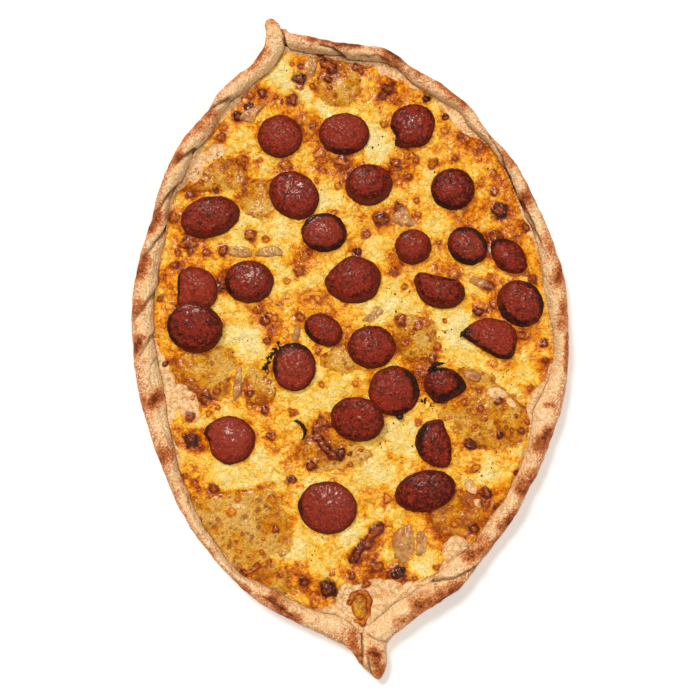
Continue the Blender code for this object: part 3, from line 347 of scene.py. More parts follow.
# Patches where the dough shows bare between the cheese: (x, y, half length, half width, turn).
BARE_PATCHES = (
    (-77, 91, 7.5, 4.6, 62), (-68, 98, 8, 3.6, 22), (-82, -26, 10, 5.5, -60), (73.5, -21.5, 4.4, 2.5, -10),
    (80.5, -26.5, 3, 1.9, -40), (60, -68, 4.4, 2.2, -50), (65, -76.5, 3.4, 1.8, -30), (52, -97.5, 7, 4, 28),
    (-3, -124.5, 8.5, 4.4, 78), (13, -118, 14, 3.4, 2), (-57.6, -77.9, 4.2, 1.1, 8),
)

# Strips of bare dough along the rim: (x, y, reach along the rim, width at the middle).
RIM_GAPS = (
    (-60, 124, 9, 3.2), (-84, 92, 12, 4), (-92, 70, 10, 2.2), (-93, -18, 15, 7), (-89, -46, 14, 1.8),
    (-24, 148, 10, 2.6), (-4, 144, 10, 2.6), (18, 141, 11, 6), (33, 134, 6, 3), (55, 117, 10, 8),
    (93, 60, 14, 1.8), (98, 20, 14, 1.6), (98, -27, 10, 6.5), (93, -50, 8, 1.6), (52, -104, 8, 5),
    (8, -130, 15, 14), (28, -124, 12, 7), (-2, -131, 8, 9), (-28, -129, 6, 1.4),
)


# Patches outside the potato slices where the cheese is only a thin tan film.
FILM_PATCHES = (
    (-68.5, -89, 24, 8, -57), (-38.5, -113, 11.5, 6.5, -38), (-34, -92, 5, 15, 8), (84, -40, 5, 8, 0),
    (62, -14, 10, 4.5, -20), (-55, -96, 20, 12, -55), (48, -32, 6, 4, 20), (69, -86, 6, 5, 50),
    (0, -137, 5, 4, 0),
)


# Clusters of loose bits: centre (x, y), spread and number.
PEPPER_CLUSTERS = (
    (17, 122, 4.5, 9), (-70, 90, 5.5, 22), (-67, -10, 6, 24), (75, -12, 4.5, 14), (72, -55, 4, 12),
    (96, 8, 3, 7), (-45, 92, 3.5, 5), (-38, -110, 4, 6), (57, -62, 2.5, 4), (40, -90, 2.5, 3),
    (4.5, 122, 0.4, 1), (-3.5, 137, 0.4, 1), (-55, 5, 1.5, 3), (-44, 3, 0.4, 1), (-37, -33, 0.4, 1),
    (-32, -23, 1.5, 2), (-71, -59, 0.4, 2), (-20, -65, 1.5, 3), (1, -64, 0.4, 1), (-12, 72, 5, 7),
    (20, 28, 5, 6), (46, 6, 5, 6), (-20, -18, 7, 8), (20, -52, 7, 8), (0, 98, 8, 8), (-56, 66, 8, 8),
    (56, 98, 8, 10), (84, -28, 5, 6), (-84, 30, 6, 6), (-50, -92, 9, 14), (62, -84, 6, 10),
    (-14, 128, 6, 10), (-97.5, -9, 0.2, 1),
)
HERB_CLUSTERS = (
    (-70, 88, 6, 5), (-66, -12, 6, 6), (20, 26, 8, 5), (60, -60, 5, 5), (80, -10, 5, 4), (-52, 62, 8, 5),
    (-8, 76, 5, 4), (10, 104, 6, 3), (24, -44, 6, 5), (-24, -20, 6, 4), (52, 8, 5, 4), (-30, 128, 6, 3),
    (60, 94, 7, 5), (-20, -98, 6, 4),
)
CRUMB_CLUSTERS = (
    (43, -27.5, 1.2, 4), (36.5, -26, 1, 4), (-41, 17, 1, 2), (24, 104, 1, 2), (57.5, 7, 1, 3),
    (-42, -11, 0.7, 5), (-42.2, -8.5, 0.7, 6), (-41.6, -6, 0.8, 7), (-40.4, -3.4, 0.8, 7),
    (-39, -1.4, 0.8, 7), (-37.2, 0.6, 0.8, 6), (-35, 2.2, 0.7, 5), (-68.8, -3.4, 0.8, 4),
)

# Burnt bits: name, path (x, y, z) and width.
CHARRED_STRIPS = (
    ("burnt_curl", ((-28, -35.2, 8.8), (-25.4, -35.8, 9.4), (-23.2, -38.2, 9.6), (-22.4, -41.4, 9.5),
        (-23.6, -44.6, 8.8)), 1.9),
    ("charred_horn", ((38.4, -10.6, 11.2), (41, -8.2, 11.8), (43.6, -6.8, 12), (46.8, -6.6, 11.6)), 2.2),
    ("charred_hook", ((40.6, -9.6, 11.4), (42.6, -9.2, 11.9), (44.4, -9.8, 11.6)), 1.6),
    ("charred_tip", ((54.6, 6.6, 10.4), (56.2, 8, 10.9), (58.6, 9.2, 11)), 2),
    ("charred_foot", ((22.6, -33.2, 9.2), (25, -33.8, 9.8), (26.4, -32, 9.8)), 1.8),
)


class Kind(Enum):
    """The record's material slots, one for each kind of piece."""

    DOUGH = "baked_dough"
    CHEESE = "melted_cheese"
    SAUSAGE = "sausage_meat"
    POTATO = "potato_flesh"
    ONION = "onion_flesh"


# --- number work ------------------------------------------------------------------------
def display(red: int, green: int, blue: int) -> tuple[float, float, float, float]:
    """Return a colour given as display values 0 to 255 as the shader's linear values.

    Args:
        red: red as shown.
        green: green as shown.
        blue: blue as shown.

    Returns:
        The linear colour with full alpha.
    """
    shown = np.array([red, green, blue]) / 255.0
    linear = np.where(shown <= 0.04045, shown / 12.92, ((shown + 0.055) / 1.055) ** 2.4)
    return (*(float(value) for value in linear), 1.0)


def ease(value: np.ndarray, low: float, high: float) -> np.ndarray:
    """Return 0 below low and 1 above high, with the smooth cubic 3t^2 - 2t^3 between them."""
    share = np.clip((value - low) / (high - low), 0.0, 1.0)
    return share * share * (3.0 - 2.0 * share)


def scatter(cell: np.ndarray, seed: float) -> np.ndarray:
    """Return a repeatable number from 0 to 1 for each lattice cell: the fraction of a large sine."""
    mixed = np.sin(cell @ CELL_MIX + seed * SEED_MIX) * SINE_SIZE
    return mixed - np.floor(mixed)


def bell(value: np.ndarray) -> np.ndarray:
    """Return the bell curve, e to the power of minus the square: 1 at 0, small past 2."""
    return np.exp(-(value**2))


def bell_spot(points: np.ndarray, x: float, y: float, reach: float) -> np.ndarray:
    """Return a round bell in plan: 1 at (x, y) and 1/e at the reach from it."""
    return np.exp(-np.sum((points[..., :2] - (x, y)) ** 2, axis=-1) / reach**2)


def noise(points: np.ndarray, size: float, seed: float = 0.0) -> np.ndarray:
    """Return gradient noise of about -1 to 1 with features of the given size.

    Each lattice corner picks one of the random directions; the dot products of the eight
    directions with the offsets from their corners are blended by the fifth-degree fade curve.

    Args:
        points: positions, the last axis being x, y, z.
        size: distance between lattice corners.
        seed: chooses another pattern.

    Returns:
        One value for each position.
    """
    scaled = np.moveaxis(points, -1, 0) / size + seed * SEED_SHIFT
    cell = np.floor(scaled).astype(np.int64)
    share = scaled - cell
    fade = share * share * share * (share * (share * 6.0 - 15.0) + 10.0)
    weight = (1.0 - fade, fade)
    keys = [[(cell[axis] + step) * PRIMES[axis] for step in (0, 1)] for axis in range(3)]
    total = np.zeros(points.shape[:-1])
    for a, b, c in itertools.product((0, 1), repeat=3):
        chosen = (keys[0][a] ^ keys[1][b] ^ keys[2][c]) % len(DIRECTIONS)
        along_x, along_y, along_z = (DIRECTIONS[:, axis][chosen] for axis in range(3))
        slope = along_x * (share[0] - a) + along_y * (share[1] - b) + along_z * (share[2] - c)
        total += slope * weight[a][0] * weight[b][1] * weight[c][2]
    return total * NOISE_GAIN


def fractal(
    points: np.ndarray, size: float, octaves: int, seed: float = 0.0, gain: float = 0.5
) -> np.ndarray:
    """Return layers of noise, each half the size of the last and gain times as strong.

    Args:
        points: places in millimetres, one a row.
        size: size of the largest grains in millimetres.
        octaves: number of layers.
        seed: chooses the pattern.
        gain: strength of each layer against the one before.

    Returns:
        The noise at each point, about -1 to 1.
    """
    total = np.zeros(points.shape[:-1])
    for octave in range(octaves):
        total += gain**octave * noise(points, size / 2**octave, seed + octave * OCTAVE_SHIFT)
    return total


def sway(points: np.ndarray, size: float, seeds: tuple[float, float]) -> np.ndarray:
    """Return a level shift at each point: one noise along X, another along Y."""
    x, y = (noise(points, size, seed) for seed in seeds)
    return np.stack([x, y, 0 * points[..., 0]], axis=-1)


def shreds(points: np.ndarray) -> np.ndarray:
    """Return noise drawn out into strokes of three directions, one of which rules at a place.

    Args:
        points: places in millimetres, one a row.

    Returns:
        The noise at each point.
    """
    total = np.zeros(points.shape[:-1])
    for step, degrees in enumerate((20.0, 80.0, 140.0)):
        along = np.concatenate([turned(points[..., :2], degrees) / (7.0, 1.5), points[..., 2:]], axis=-1)
        total += noise(along, 1.0, 30.0 + step) * ease(noise(points, 11.0, 40.0 + step), -0.1, 0.25)
    return total


def pebbles(points: np.ndarray, size: float, seed: float = 0.0) -> tuple[np.ndarray, np.ndarray]:
    """Return how far each point is from the nearest and second nearest of scattered seeds.

    One seed lies at a random place in each square cell of the plan; distances are shares of
    the cell's size.

    Args:
        points: positions, of which x and y are used.
        size: width of a cell.
        seed: chooses another pattern.

    Returns:
        The nearest and the second nearest distance.
    """
    scaled = points[..., :2] / size
    cell = np.floor(scaled)
    nearest = np.full(scaled.shape[:-1], 9.0)
    second = nearest.copy()
    for step in itertools.product((-1.0, 0.0, 1.0), repeat=2):
        key = np.concatenate([cell + np.array(step), np.full((*cell.shape[:-1], 1), seed)], axis=-1)
        spot = key[..., :2] + np.stack([scatter(key, 1.0), scatter(key, 2.0)], axis=-1)
        distance = np.linalg.norm(scaled - spot, axis=-1)
        second = np.minimum(second, np.maximum(nearest, distance))
        nearest = np.minimum(nearest, distance)
    return nearest, second


def between_rows(rows: np.ndarray, start: np.ndarray, place: np.ndarray) -> np.ndarray:
    """Return the Catmull-Rom cubic at places between the rows.

    Args:
        rows: the points, counted in a circle.
        start: the number of the row before each place.
        place: the place, in rows.

    Returns:
        A point for each place.
    """
    share = (place - start)[:, None]
    before, first, second, after = (rows[(start + step) % len(rows)] for step in (-1, 0, 1, 2))
    return 0.5 * (
        2 * first
        + (second - before) * share
        + (2 * before - 5 * first + 4 * second - after) * share**2
        + (3 * first - before - 3 * second + after) * share**3
    )


def closed_curve(points: tuple | np.ndarray, count: int) -> np.ndarray:
    """Return count points along the smooth closed curve through the points.

    Args:
        points: places in plan, in order round the curve.
        count: how many points to return.

    Returns:
        The points, one a row.
    """
    rows = np.asarray(points, dtype=float)
    place = np.arange(count) * len(rows) / count
    return between_rows(rows, np.floor(place).astype(int), place)


def open_curve(points: tuple | np.ndarray, count: int) -> np.ndarray:
    """Return count points along a smooth curve from the first point to the last.

    A point is added past the last one and another before the first, which ends the rows, so
    the closed curve's cubic serves the stretch between.

    Args:
        points: places in order along the curve.
        count: how many points to return.

    Returns:
        The points, one a row.
    """
    rows = np.asarray(points, dtype=float)
    padded = np.vstack([rows, 2 * rows[-1] - rows[-2], 2 * rows[0] - rows[1]])
    place = np.linspace(0.0, len(rows) - 1.0, count)
    return between_rows(padded, np.minimum(np.floor(place).astype(int), len(rows) - 2), place)


def line_distance(points: np.ndarray, line: tuple | np.ndarray) -> tuple[np.ndarray, np.ndarray]:
    """Return the distance from each point to a broken line, and which side it lies on.

    Args:
        points: positions, of which x and y are used.
        line: the corners of the line.

    Returns:
        The distance, and the signed distance from the nearest stretch, positive to its left.
    """
    nearest = np.full(points.shape[:-1], 1e9)
    signed = np.zeros(points.shape[:-1])
    corners = np.asarray(line, dtype=float)
    for start, end in zip(corners, corners[1:]):
        along = end - start
        offset = points[..., :2] - start
        share = np.clip(offset @ along / (along @ along), 0.0, 1.0)
        distance = np.linalg.norm(offset - share[..., None] * along, axis=-1)
        left = (offset[..., 1] * along[0] - offset[..., 0] * along[1]) / np.linalg.norm(along)
        signed = np.where(distance < nearest, left, signed)
        nearest = np.minimum(nearest, distance)
    return nearest, signed


def turned(points: np.ndarray, degrees: float) -> np.ndarray:
    """Return points turned counterclockwise about the origin of their plane.

    Args:
        points: points in plan, one a row.
        degrees: the angle to turn by.

    Returns:
        The turned points.
    """
    angle = math.radians(degrees)
    spin = np.array([[math.cos(angle), math.sin(angle)], [-math.sin(angle), math.cos(angle)]])
    return points @ spin


# --- meshes -----------------------------------------------------------------------------
@dataclass
class Surface:
    """A closed surface as arrays: points in millimetres, faces, and fields at the points."""

    points: np.ndarray
    faces: list[np.ndarray]
    fields: dict[str, np.ndarray] = field(default_factory=dict)

    @classmethod
    def from_rings(cls, rings: np.ndarray, first: np.ndarray, last: np.ndarray) -> "Surface":
        """Close a stack of counterclockwise rings, lowest first, with a fan at each end.

        Args:
            rings: positions as ring, place on the ring, x-y-z.
            first: the point under the first ring.
            last: the point over the last ring.

        Returns:
            The surface, its points being the first point, the rings in turn and the last point.
        """
        levels, count = rings.shape[:2]
        index = 1 + np.arange(levels * count).reshape(levels, count)
        following = np.roll(index, -1, axis=1)
        quads = np.stack([index[:-1], following[:-1], following[1:], index[1:]], axis=-1).reshape(-1, 4)
        under = np.stack([following[0], index[0], np.zeros(count, int)], axis=-1)
        over = np.stack([index[-1], following[-1], np.full(count, levels * count + 1)], axis=-1)
        points = np.vstack([first, rings.reshape(-1, 3), last])
        return cls(points, [quads, under, over])

    @classmethod
    def joined(cls, parts: list["Surface"]) -> "Surface":
        """Return several surfaces as one, without merging anything.

        Args:
            parts: the surfaces, in order.

        Returns:
            One surface that holds them all.
        """
        offsets = np.cumsum([0] + [len(part.points) for part in parts[:-1]])
        faces = [block + offset for part, offset in zip(parts, offsets) for block in part.faces]
        names = parts[0].fields
        fields = {name: np.concatenate([part.fields[name] for part in parts]) for name in names}
        return cls(np.vstack([part.points for part in parts]), faces, fields)

    def make(self, name: str) -> bpy.types.Object:
        """Put the arrays into a smooth-shaded mesh object at the origin, in metres.

        Args:
            name: the object's name.

        Returns:
            The new mesh object.
        """
        mesh = bpy.data.meshes.new(name)
        mesh.vertices.add(len(self.points))
        mesh.vertices.foreach_set("co", (self.points * METRES).astype(np.float32).ravel())
        sizes = np.concatenate([np.full(len(block), block.shape[1]) for block in self.faces])
        corners = np.concatenate([block.ravel() for block in self.faces])
        mesh.loops.add(len(corners))
        mesh.loops.foreach_set("vertex_index", corners.astype(np.int32))
        mesh.polygons.add(len(sizes))
        mesh.polygons.foreach_set("loop_start", (np.cumsum(sizes) - sizes).astype(np.int32))
        for key, values in self.fields.items():
            layer = mesh.attributes.new(key, "FLOAT", "POINT")
            layer.data.foreach_set("value", values.astype(np.float32).ravel())
        mesh.update(calc_edges=True)
        mesh.validate()
        mesh.shade_smooth()
        piece = bpy.data.objects.new(name, mesh)
        bpy.context.scene.collection.objects.link(piece)
        return piece


def surface_normals(rings: np.ndarray) -> np.ndarray:
    """Return outward unit normals of a stack of rings: the cross product of its two slopes.

    Args:
        rings: rings of points, stacked from the underside up.

    Returns:
        A unit normal for each point of each ring.
    """
    around = np.roll(rings, -1, axis=1) - np.roll(rings, 1, axis=1)
    upward = np.gradient(rings, axis=0)
    normal = np.cross(around, upward)
    return normal / np.maximum(np.linalg.norm(normal, axis=-1, keepdims=True), 1e-9)


def flat_ring(outline: np.ndarray, height: float) -> np.ndarray:
    """Return an outline as a ring at one height."""
    return np.column_stack([outline, np.full(len(outline), height)])


def place_piece(
    piece: bpy.types.Object, finish: bpy.types.Material, kind: Kind, *nodes: str
) -> bpy.types.Object:
    """Dress a piece, let it ride on the bread and hide the solids it stands for.

    Args:
        piece: the mesh object.
        finish: the material it wears.
        kind: the kind of piece; not used.
        nodes: names of the solids it stands for.

    Returns:
        The same object.
    """
    piece.data.materials.append(finish)
    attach(piece, BODY)
    if nodes:
        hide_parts(*nodes)
    LOG.info("%s: %d faces", piece.name, len(piece.data.polygons))
    return piece


# --- shader maths -----------------------------------------------------------------------
class Board:
    """The node tree of one material, and the one way nodes are put on it."""

    def __init__(self, name: str, **constants: float) -> None:
        """Start a material whose shader sockets hold the given constants.

        Args:
            name: the material's name.
            constants: values of its sockets by name, with _ for a space.
        """
        self.material = bpy.data.materials.new(name)
        self.material.use_nodes = True
        self.tree = self.material.node_tree
        self.shader = self.tree.nodes["Principled BSDF"]
        for socket, value in constants.items():
            self.shader.inputs[socket.replace("_", " ")].default_value = value

    def node(self, kind: str, settings: dict | None = None, inputs: dict | None = None) -> bpy.types.Node:
        """Add a node.

        Args:
            kind: the node's type name, without the ShaderNode in front.
            settings: properties set first; stops is a ramp's list of (place, colour).
            inputs: values or links by socket name or number.

        Returns:
            The node.
        """
        made = self.tree.nodes.new("ShaderNode" + kind)
        for key, value in (settings or {}).items():
            if key == "stops":
                while len(made.color_ramp.elements) < len(value):
                    made.color_ramp.elements.new(1.0)
                for element, (place, colour) in zip(made.color_ramp.elements, value):
                    element.position = place
                    element.color = colour
            else:
                setattr(made, key, value)
        for key, value in (inputs or {}).items():
            self.feed(made.inputs[key], value)
        return made

    def feed(self, socket: bpy.types.NodeSocket, value: object) -> None:
        """Link a socket to a value's socket, or set its constant.

        Args:
            socket: the input socket.
            value: a Num, a socket or a constant.
        """
        source = value.socket if isinstance(value, Num) else value
        if isinstance(source, bpy.types.NodeSocket):
            self.tree.links.new(source, socket)
        else:
            socket.default_value = source

    def set(self, **inputs: object) -> None:
        """Feed sockets of the shader by name."""
        for socket, value in inputs.items():
            self.feed(self.shader.inputs[socket.replace("_", " ")], value)

    def field(self, name: str) -> "Num":
        """Read a field of the mesh."""
        return Num(self, self.node("Attribute", {"attribute_name": name}).outputs["Fac"])

    def place(self, move: float) -> bpy.types.NodeSocket:
        """Return the place on the object in millimetres, moved to another part of a pattern.

        Args:
            move: how far to move, in millimetres along each axis.

        Returns:
            The socket of the place.
        """
        where = self.node("TexCoord").outputs["Object"]
        scaled = self.node("VectorMath", {"operation": "SCALE"}, {0: where, "Scale": 1.0 / METRES})
        shift = (move, move * 0.7, move * 1.3)
        moved = self.node("VectorMath", {"operation": "ADD"}, {0: scaled.outputs["Vector"], 1: shift})
        return moved.outputs["Vector"]

    def grain(
        self, size: float, detail: float = 3.0, rough: float = 0.55, warp: float = 0.0, move: float = 0.0
    ) -> "Num":
        """Return soft noise of 0 to 1 with grains of the given size in millimetres.

        Args:
            size: size of a grain in millimetres.
            detail: layers of finer grain.
            rough: strength of the finer layers.
            warp: how far the grains are bent.
            move: moves to another part of the pattern.

        Returns:
            The noise.
        """
        inputs = {"Vector": self.place(move), "Scale": 1.0 / size}
        inputs |= {"Detail": detail, "Roughness": rough, "Distortion": warp}
        return Num(self, self.node("TexNoise", {}, inputs).outputs["Fac"])

    def spots(self, size: float, move: float = 0.0) -> "Num":
        """Return the distance to the nearest of scattered spots, as a share of their spacing."""
        inputs = {"Vector": self.place(move), "Scale": 1.0 / size}
        return Num(self, self.node("TexVoronoi", {"feature": "F1"}, inputs).outputs["Distance"])

    def mix(self, share: object, first: object, second: object) -> bpy.types.NodeSocket:
        """Return a colour between two colours."""
        return self.node("Mix", {"data_type": "RGBA"}, {0: share, 6: first, 7: second}).outputs[2]

    def layered(self, colour: object, *layers: tuple) -> bpy.types.NodeSocket:
        """Return a colour with others laid over it in turn, each given as (share, colour).

        Args:
            colour: the colour under the others.
            layers: pairs of a share of 0 to 1 and the colour laid on.

        Returns:
            The socket of the mix.
        """
        for share, over in layers:
            colour = self.mix(share, colour, over)
        return colour

    def ramp(self, value: "Num", stops: list) -> bpy.types.NodeSocket:
        """Return the colour that a ramp gives a value."""
        return self.node("ValToRGB", {"stops": stops}, {"Fac": value}).outputs["Color"]

    def bump(self, height: "Num", strength: float, distance: float) -> None:
        """Let a height in shares of the distance, in millimetres, feed the normal."""
        inputs = {"Height": height, "Strength": strength, "Distance": distance * METRES}
        self.set(Normal=self.node("Bump", {}, inputs).outputs["Normal"])


GRAIN_MEAN = 0.5


@dataclass(frozen=True, eq=False)
class Num:
    """A number that changes over a surface; an expression on it adds Math nodes."""

    board: Board
    socket: bpy.types.NodeSocket

    def math(self, operation: str, *values: object, clamp: bool = False) -> "Num":
        """Add one Math node on the values."""
        node = self.board.node("Math", {"operation": operation, "use_clamp": clamp}, dict(enumerate(values)))
        return Num(self.board, node.outputs[0])

    def __add__(self, other: object) -> "Num":
        """Sum."""
        return self.math("ADD", self, other)

    def __radd__(self, other: object) -> "Num":
        """Sum."""
        return self.math("ADD", other, self)

    def __sub__(self, other: object) -> "Num":
        """Difference."""
        return self.math("SUBTRACT", self, other)

    def __rsub__(self, other: object) -> "Num":
        """Difference."""
        return self.math("SUBTRACT", other, self)

    def __mul__(self, other: object) -> "Num":
        """Product."""
        return self.math("MULTIPLY", self, other)

    def __rmul__(self, other: object) -> "Num":
        """Product."""
        return self.math("MULTIPLY", other, self)

    def most(self, other: object) -> "Num":
        """The larger of the two."""
        return self.math("MAXIMUM", self, other)

    def size(self) -> "Num":
        """The value without its sign."""
        return self.math("ABSOLUTE", self)

    def held(self) -> "Num":
        """The value kept within 0 and 1."""
        return self.math("ADD", self, 0.0, clamp=True)

    def between(self, low: float, high: float) -> "Num":
        """0 below low, 1 above high and a smooth rise between; falls where high is under low.

        Args:
            low: the value where the rise starts.
            high: value where it ends.

        Returns:
            The share, 0 to 1.
        """
        settings = {"interpolation_type": "SMOOTHSTEP"}
        if low > high:
            return 1.0 - self.between(high, low)
        node = self.board.node("MapRange", settings, {"Value": self, "From Min": low, "From Max": high})
        return Num(self.board, node.outputs["Result"])

    def swing(self, strength: float) -> "Num":
        """How far a grain is from its mean, times a strength."""
        return (self - GRAIN_MEAN) * strength


# --- finishes ---------------------------------------------------------------------------
# A dull surface under a thin film of oil, whose share is set place by place.
OILED = {"IOR": 1.45, "Specular_IOR_Level": 0.08, "Coat_Roughness": 0.18, "Coat_IOR": 1.47}


@dataclass(frozen=True)
class CrustFinish:
    """Baked dough: fair where sheltered, golden and stippled where raised, scorched in places,
    and darkened by painted shade in the creases of its folds and low on its inner wall.
    """

    flour: tuple = display(255, 240, 206)
    fair: tuple = display(248, 196, 134)
    gold: tuple = display(226, 142, 76)
    brown: tuple = display(188, 94, 40)
    scorch: tuple = display(146, 66, 26)
    char: tuple = display(90, 38, 18)
    # painted shade: the dark brown laid in the creases of the folds and low on the inner wall where the roll
    # meets the filling
    crease: tuple = display(100, 52, 22)
    roughness: float = 0.62

    def make(self) -> bpy.types.Material:
        """Return the material, driven by the fields tan, scorch and crease, the last being painted shade.

        Returns:
            The new material.
        """
        board = Board("baked_crust", IOR=1.42, Specular_IOR_Level=0.12)
        fine = board.grain(0.9, 2.0, 0.65)
        grit = board.grain(1.5, 3.0, 0.7, move=77.0)
        mid = board.grain(2.8, 3.0, 0.6, move=40.0)
        streak = board.grain(7.0, 3.0, 0.6, warp=1.2, move=140.0)
        tan = board.field("tan") + mid.swing(1.6) + streak.swing(1.5)
        stipple = (grit - GRAIN_MEAN).between(0.0, 0.13) * tan.between(0.0, 0.8)
        mark = board.field("scorch")
        sand = (GRAIN_MEAN - fine).between(0.00, 0.12) * (1.0 - mark * 0.7).held()
        burn = mark + (fine.swing(1.3) + grit.swing(0.9) + mid.swing(0.8)) * mark.between(0.02, 0.3)
        pores = board.spots(1.9).between(0.22, 0.06) * board.grain(6.0, 2.0, move=9.0).between(0.45, 0.62)
        colour = board.layered(
            self.fair,
            (tan.between(0.0, 0.95), self.gold),
            (stipple * 0.95, self.brown),
            (sand * 0.85, self.flour),
            ((mark + mid.swing(0.3)).between(0.02, 0.5) * 0.55, self.gold),
            (burn.between(0.06, 0.66) * 0.75, self.brown),
            (burn.between(0.40, 1.00) * 0.80, self.scorch),
            (burn.between(0.76, 1.25) * 0.85, self.char),
            (pores * 0.6, self.scorch),
            # painted shade in the creases and low on the inner wall
            (board.field("crease").between(0.1, 1.0) * 0.75, self.crease),
        )
        board.set(Base_Color=colour, Roughness=(self.roughness + fine.swing(0.3)))
        board.bump(fine * 1.2 + grit * 0.7 + mid * 1.2 + streak * 1.5 - pores * 0.5, 0.95, 1.0)
        return board.material


@dataclass(frozen=True)
class FillingFinish:
    """The baked top: cheese from cream to deep brown, glossy blisters, and what shows through it.

    The same recipe dresses the cheese, the potato and the rims of the onion, so the one runs
    into the other; the fields film and bare say where potato and dough show.
    """

    name: str
    ramp: tuple = (
        (0.00, display(254, 228, 154)),
        (0.18, display(254, 214, 106)),
        (0.32, display(254, 190, 46)),
        (0.46, display(244, 152, 8)),
        (0.62, display(210, 108, 2)),
        (0.78, display(172, 70, 2)),
        (0.92, display(124, 42, 4)),
        (1.00, display(88, 28, 4)),
    )
    # paler cream laid on the peaks of the fine relief: partly creamy bits, partly painted highlight
    cream: tuple = display(255, 234, 158)
    dough: tuple = display(252, 214, 160)
    dough_tan: tuple = display(224, 158, 92)
    flesh_ramp: tuple = (
        (0.05, display(226, 170, 78)),
        (0.22, display(220, 154, 38)),
        (0.36, display(210, 136, 10)),
        (0.52, display(208, 114, 4)),
        (0.70, display(160, 76, 4)),
    )
    grit: tuple = display(146, 84, 16)
    scabs: tuple = (
        (0.20, display(236, 156, 30)),
        (0.38, display(210, 116, 16)),
        (0.56, display(174, 80, 10)),
        (0.74, display(130, 50, 6)),
        (0.90, display(86, 30, 5)),
        (1.05, display(46, 18, 5)),
    )

    def flesh(self, board: Board, toast: "Num", fine: "Num", mid: "Num") -> bpy.types.NodeSocket:
        """Return the colour of potato: tan to golden, gritty, and brown where toasted.

        Args:
            board: the material's board.
            toast: how browned the place is.
            fine: the fine grain.
            mid: the middle grain.

        Returns:
            The colour's socket.
        """
        ripe = board.field("toast") * 0.9 + mid.swing(0.9) + board.grain(8.0, 3.0, 0.55, move=19.0).swing(2.2)
        sand = board.grain(0.9, 2.0, 0.6, move=5.0) - GRAIN_MEAN
        freckle = (board.spots(3.3, 3.0) + fine.swing(0.3)).between(0.52, 0.32)
        freckle = freckle * board.grain(7.0, 2.0, 0.5, move=29.0).between(0.46, 0.56)
        dots = board.spots(1.7, 41.0).between(0.32, 0.16)
        dots = dots * board.grain(5.0, 2.0, 0.5, move=9.0).between(0.50, 0.60)
        return board.layered(
            board.ramp(ripe, list(self.flesh_ramp)),
            (sand.between(0.02, 0.18) * 0.5, self.grit),
            ((sand * -1.0).between(0.06, 0.20) * 0.22, self.ramp[1][1]),
            (freckle * 0.85, board.mix(mid.between(0.4, 0.6), self.scabs[2][1], self.scabs[3][1])),
            (dots * 0.7, self.scabs[4][1]),
            ((toast + sand * 0.6).between(0.64, 1.0) * 0.85, self.ramp[5][1]),
        )

    def blisters(self, board: Board, colour: object, fine: "Num", mid: "Num") -> tuple:
        """Lay the blisters over a colour.

        A blister is mottled, a little darker inside its ragged edge; the darker kinds run
        through the whole ramp from orange to nearly black.

        Args:
            board: the material's board.
            colour: the colour underneath.
            fine: the fine grain.
            mid: the middle grain.

        Returns:
            The colour, and how much of a blister shows.
        """
        share = 1.0 - board.field("pock") + fine.swing(0.5) + mid.swing(0.6)
        ring = share.between(0.15, 0.70) * share.between(1.20, 0.80)
        depth = board.field("dark") * 1.15 - 0.37 + ring * 0.22 + mid.swing(0.8) + fine.swing(0.5)
        shown = share.between(1.34, 0.74)
        return board.mix(shown, colour, board.ramp(depth, list(self.scabs))), shown

    def top(self, board: Board) -> tuple[bpy.types.NodeSocket, "Num", "Num"]:
        """Return the baked top's colour, how oily it is and its fine relief.

        The colour is paler on the relief's peaks, partly painted highlight, and more orange in
        its hollows, painted shade.

        Args:
            board: the node tree to build in.

        Returns:
            The colour, the oil and the relief.
        """
        fine = board.grain(0.65, 3.0, 0.6, warp=0.3)
        mid = board.grain(2.2, 3.0, 0.55, warp=0.8, move=23.0)
        broad = board.grain(7.0, 2.0, 0.5, move=61.0)
        strand = (board.grain(3.4, 2.0, 0.5, warp=1.6, move=85.0) - GRAIN_MEAN).size().between(0.045, 0.0)
        brown = board.field("toast")
        lively = brown.between(0.08, 0.45) * 0.55 + 0.35
        stain = board.grain(4.6, 3.0, 0.55, warp=0.7, move=130.0).between(0.49, 0.60) * 0.20 - 0.09
        toast = brown + (stain + mid.swing(0.85) + fine.swing(0.40) + strand * 0.12) * lively
        film = (board.field("film") + mid.swing(1.0) + fine.swing(0.4)).between(0.34, 0.66)
        # paler cream on the peaks of the fine relief: partly creamy bits, partly painted highlight
        cream_glint = (fine - GRAIN_MEAN).between(0.02, 0.16) * (0.80 - brown).between(0.0, 0.5) * (1.0 - film)
        # more orange in the hollows of the fine relief: painted shade
        hollow_shade = (GRAIN_MEAN - fine).between(0.04, 0.17)
        bare = (board.field("bare") + mid.swing(1.1) + fine.swing(0.4)).between(0.32, 0.68)
        bubbles = board.spots(4.0, 7.0).between(0.22, 0.12) * broad.between(0.49, 0.58)
        bubbles = bubbles * (toast + film * 0.25).between(0.35, 0.65)
        colour = board.layered(
            board.ramp(toast, list(self.ramp)),
            (film * 0.92, self.flesh(board, toast, fine, mid)),
            (cream_glint * 0.26, self.cream),
            (hollow_shade * 0.30, self.ramp[4][1]),
            (bare, board.mix((mid + fine.swing(0.6)).between(0.40, 0.68), self.dough, self.dough_tan)),
            (bubbles * 0.75, self.scabs[1][1]),
        )
        colour, scab = self.blisters(board, colour, fine, mid)
        oil = (broad + toast * 0.25 + mid.swing(0.8)).between(0.53, 0.78) * (0.5 - bare * 0.4)
        oil = oil.most(scab * 0.30)
        relief = fine * 0.50 + mid * 1.25 + bubbles * 0.5 - strand * 0.25 + stain * 1.2
        return colour, oil, relief

    def make(self) -> bpy.types.Material:
        """Return the material, driven by the fields toast, pock, dark, bare and film.

        Returns:
            The new material.
        """
        board = Board(self.name, **OILED)
        colour, oil, relief = self.top(board)
        board.set(Base_Color=colour, Coat_Weight=(oil * 1.1), Roughness=(0.55 - oil * 0.2))
        board.bump(relief, 0.95, 1.0)
        return board.material


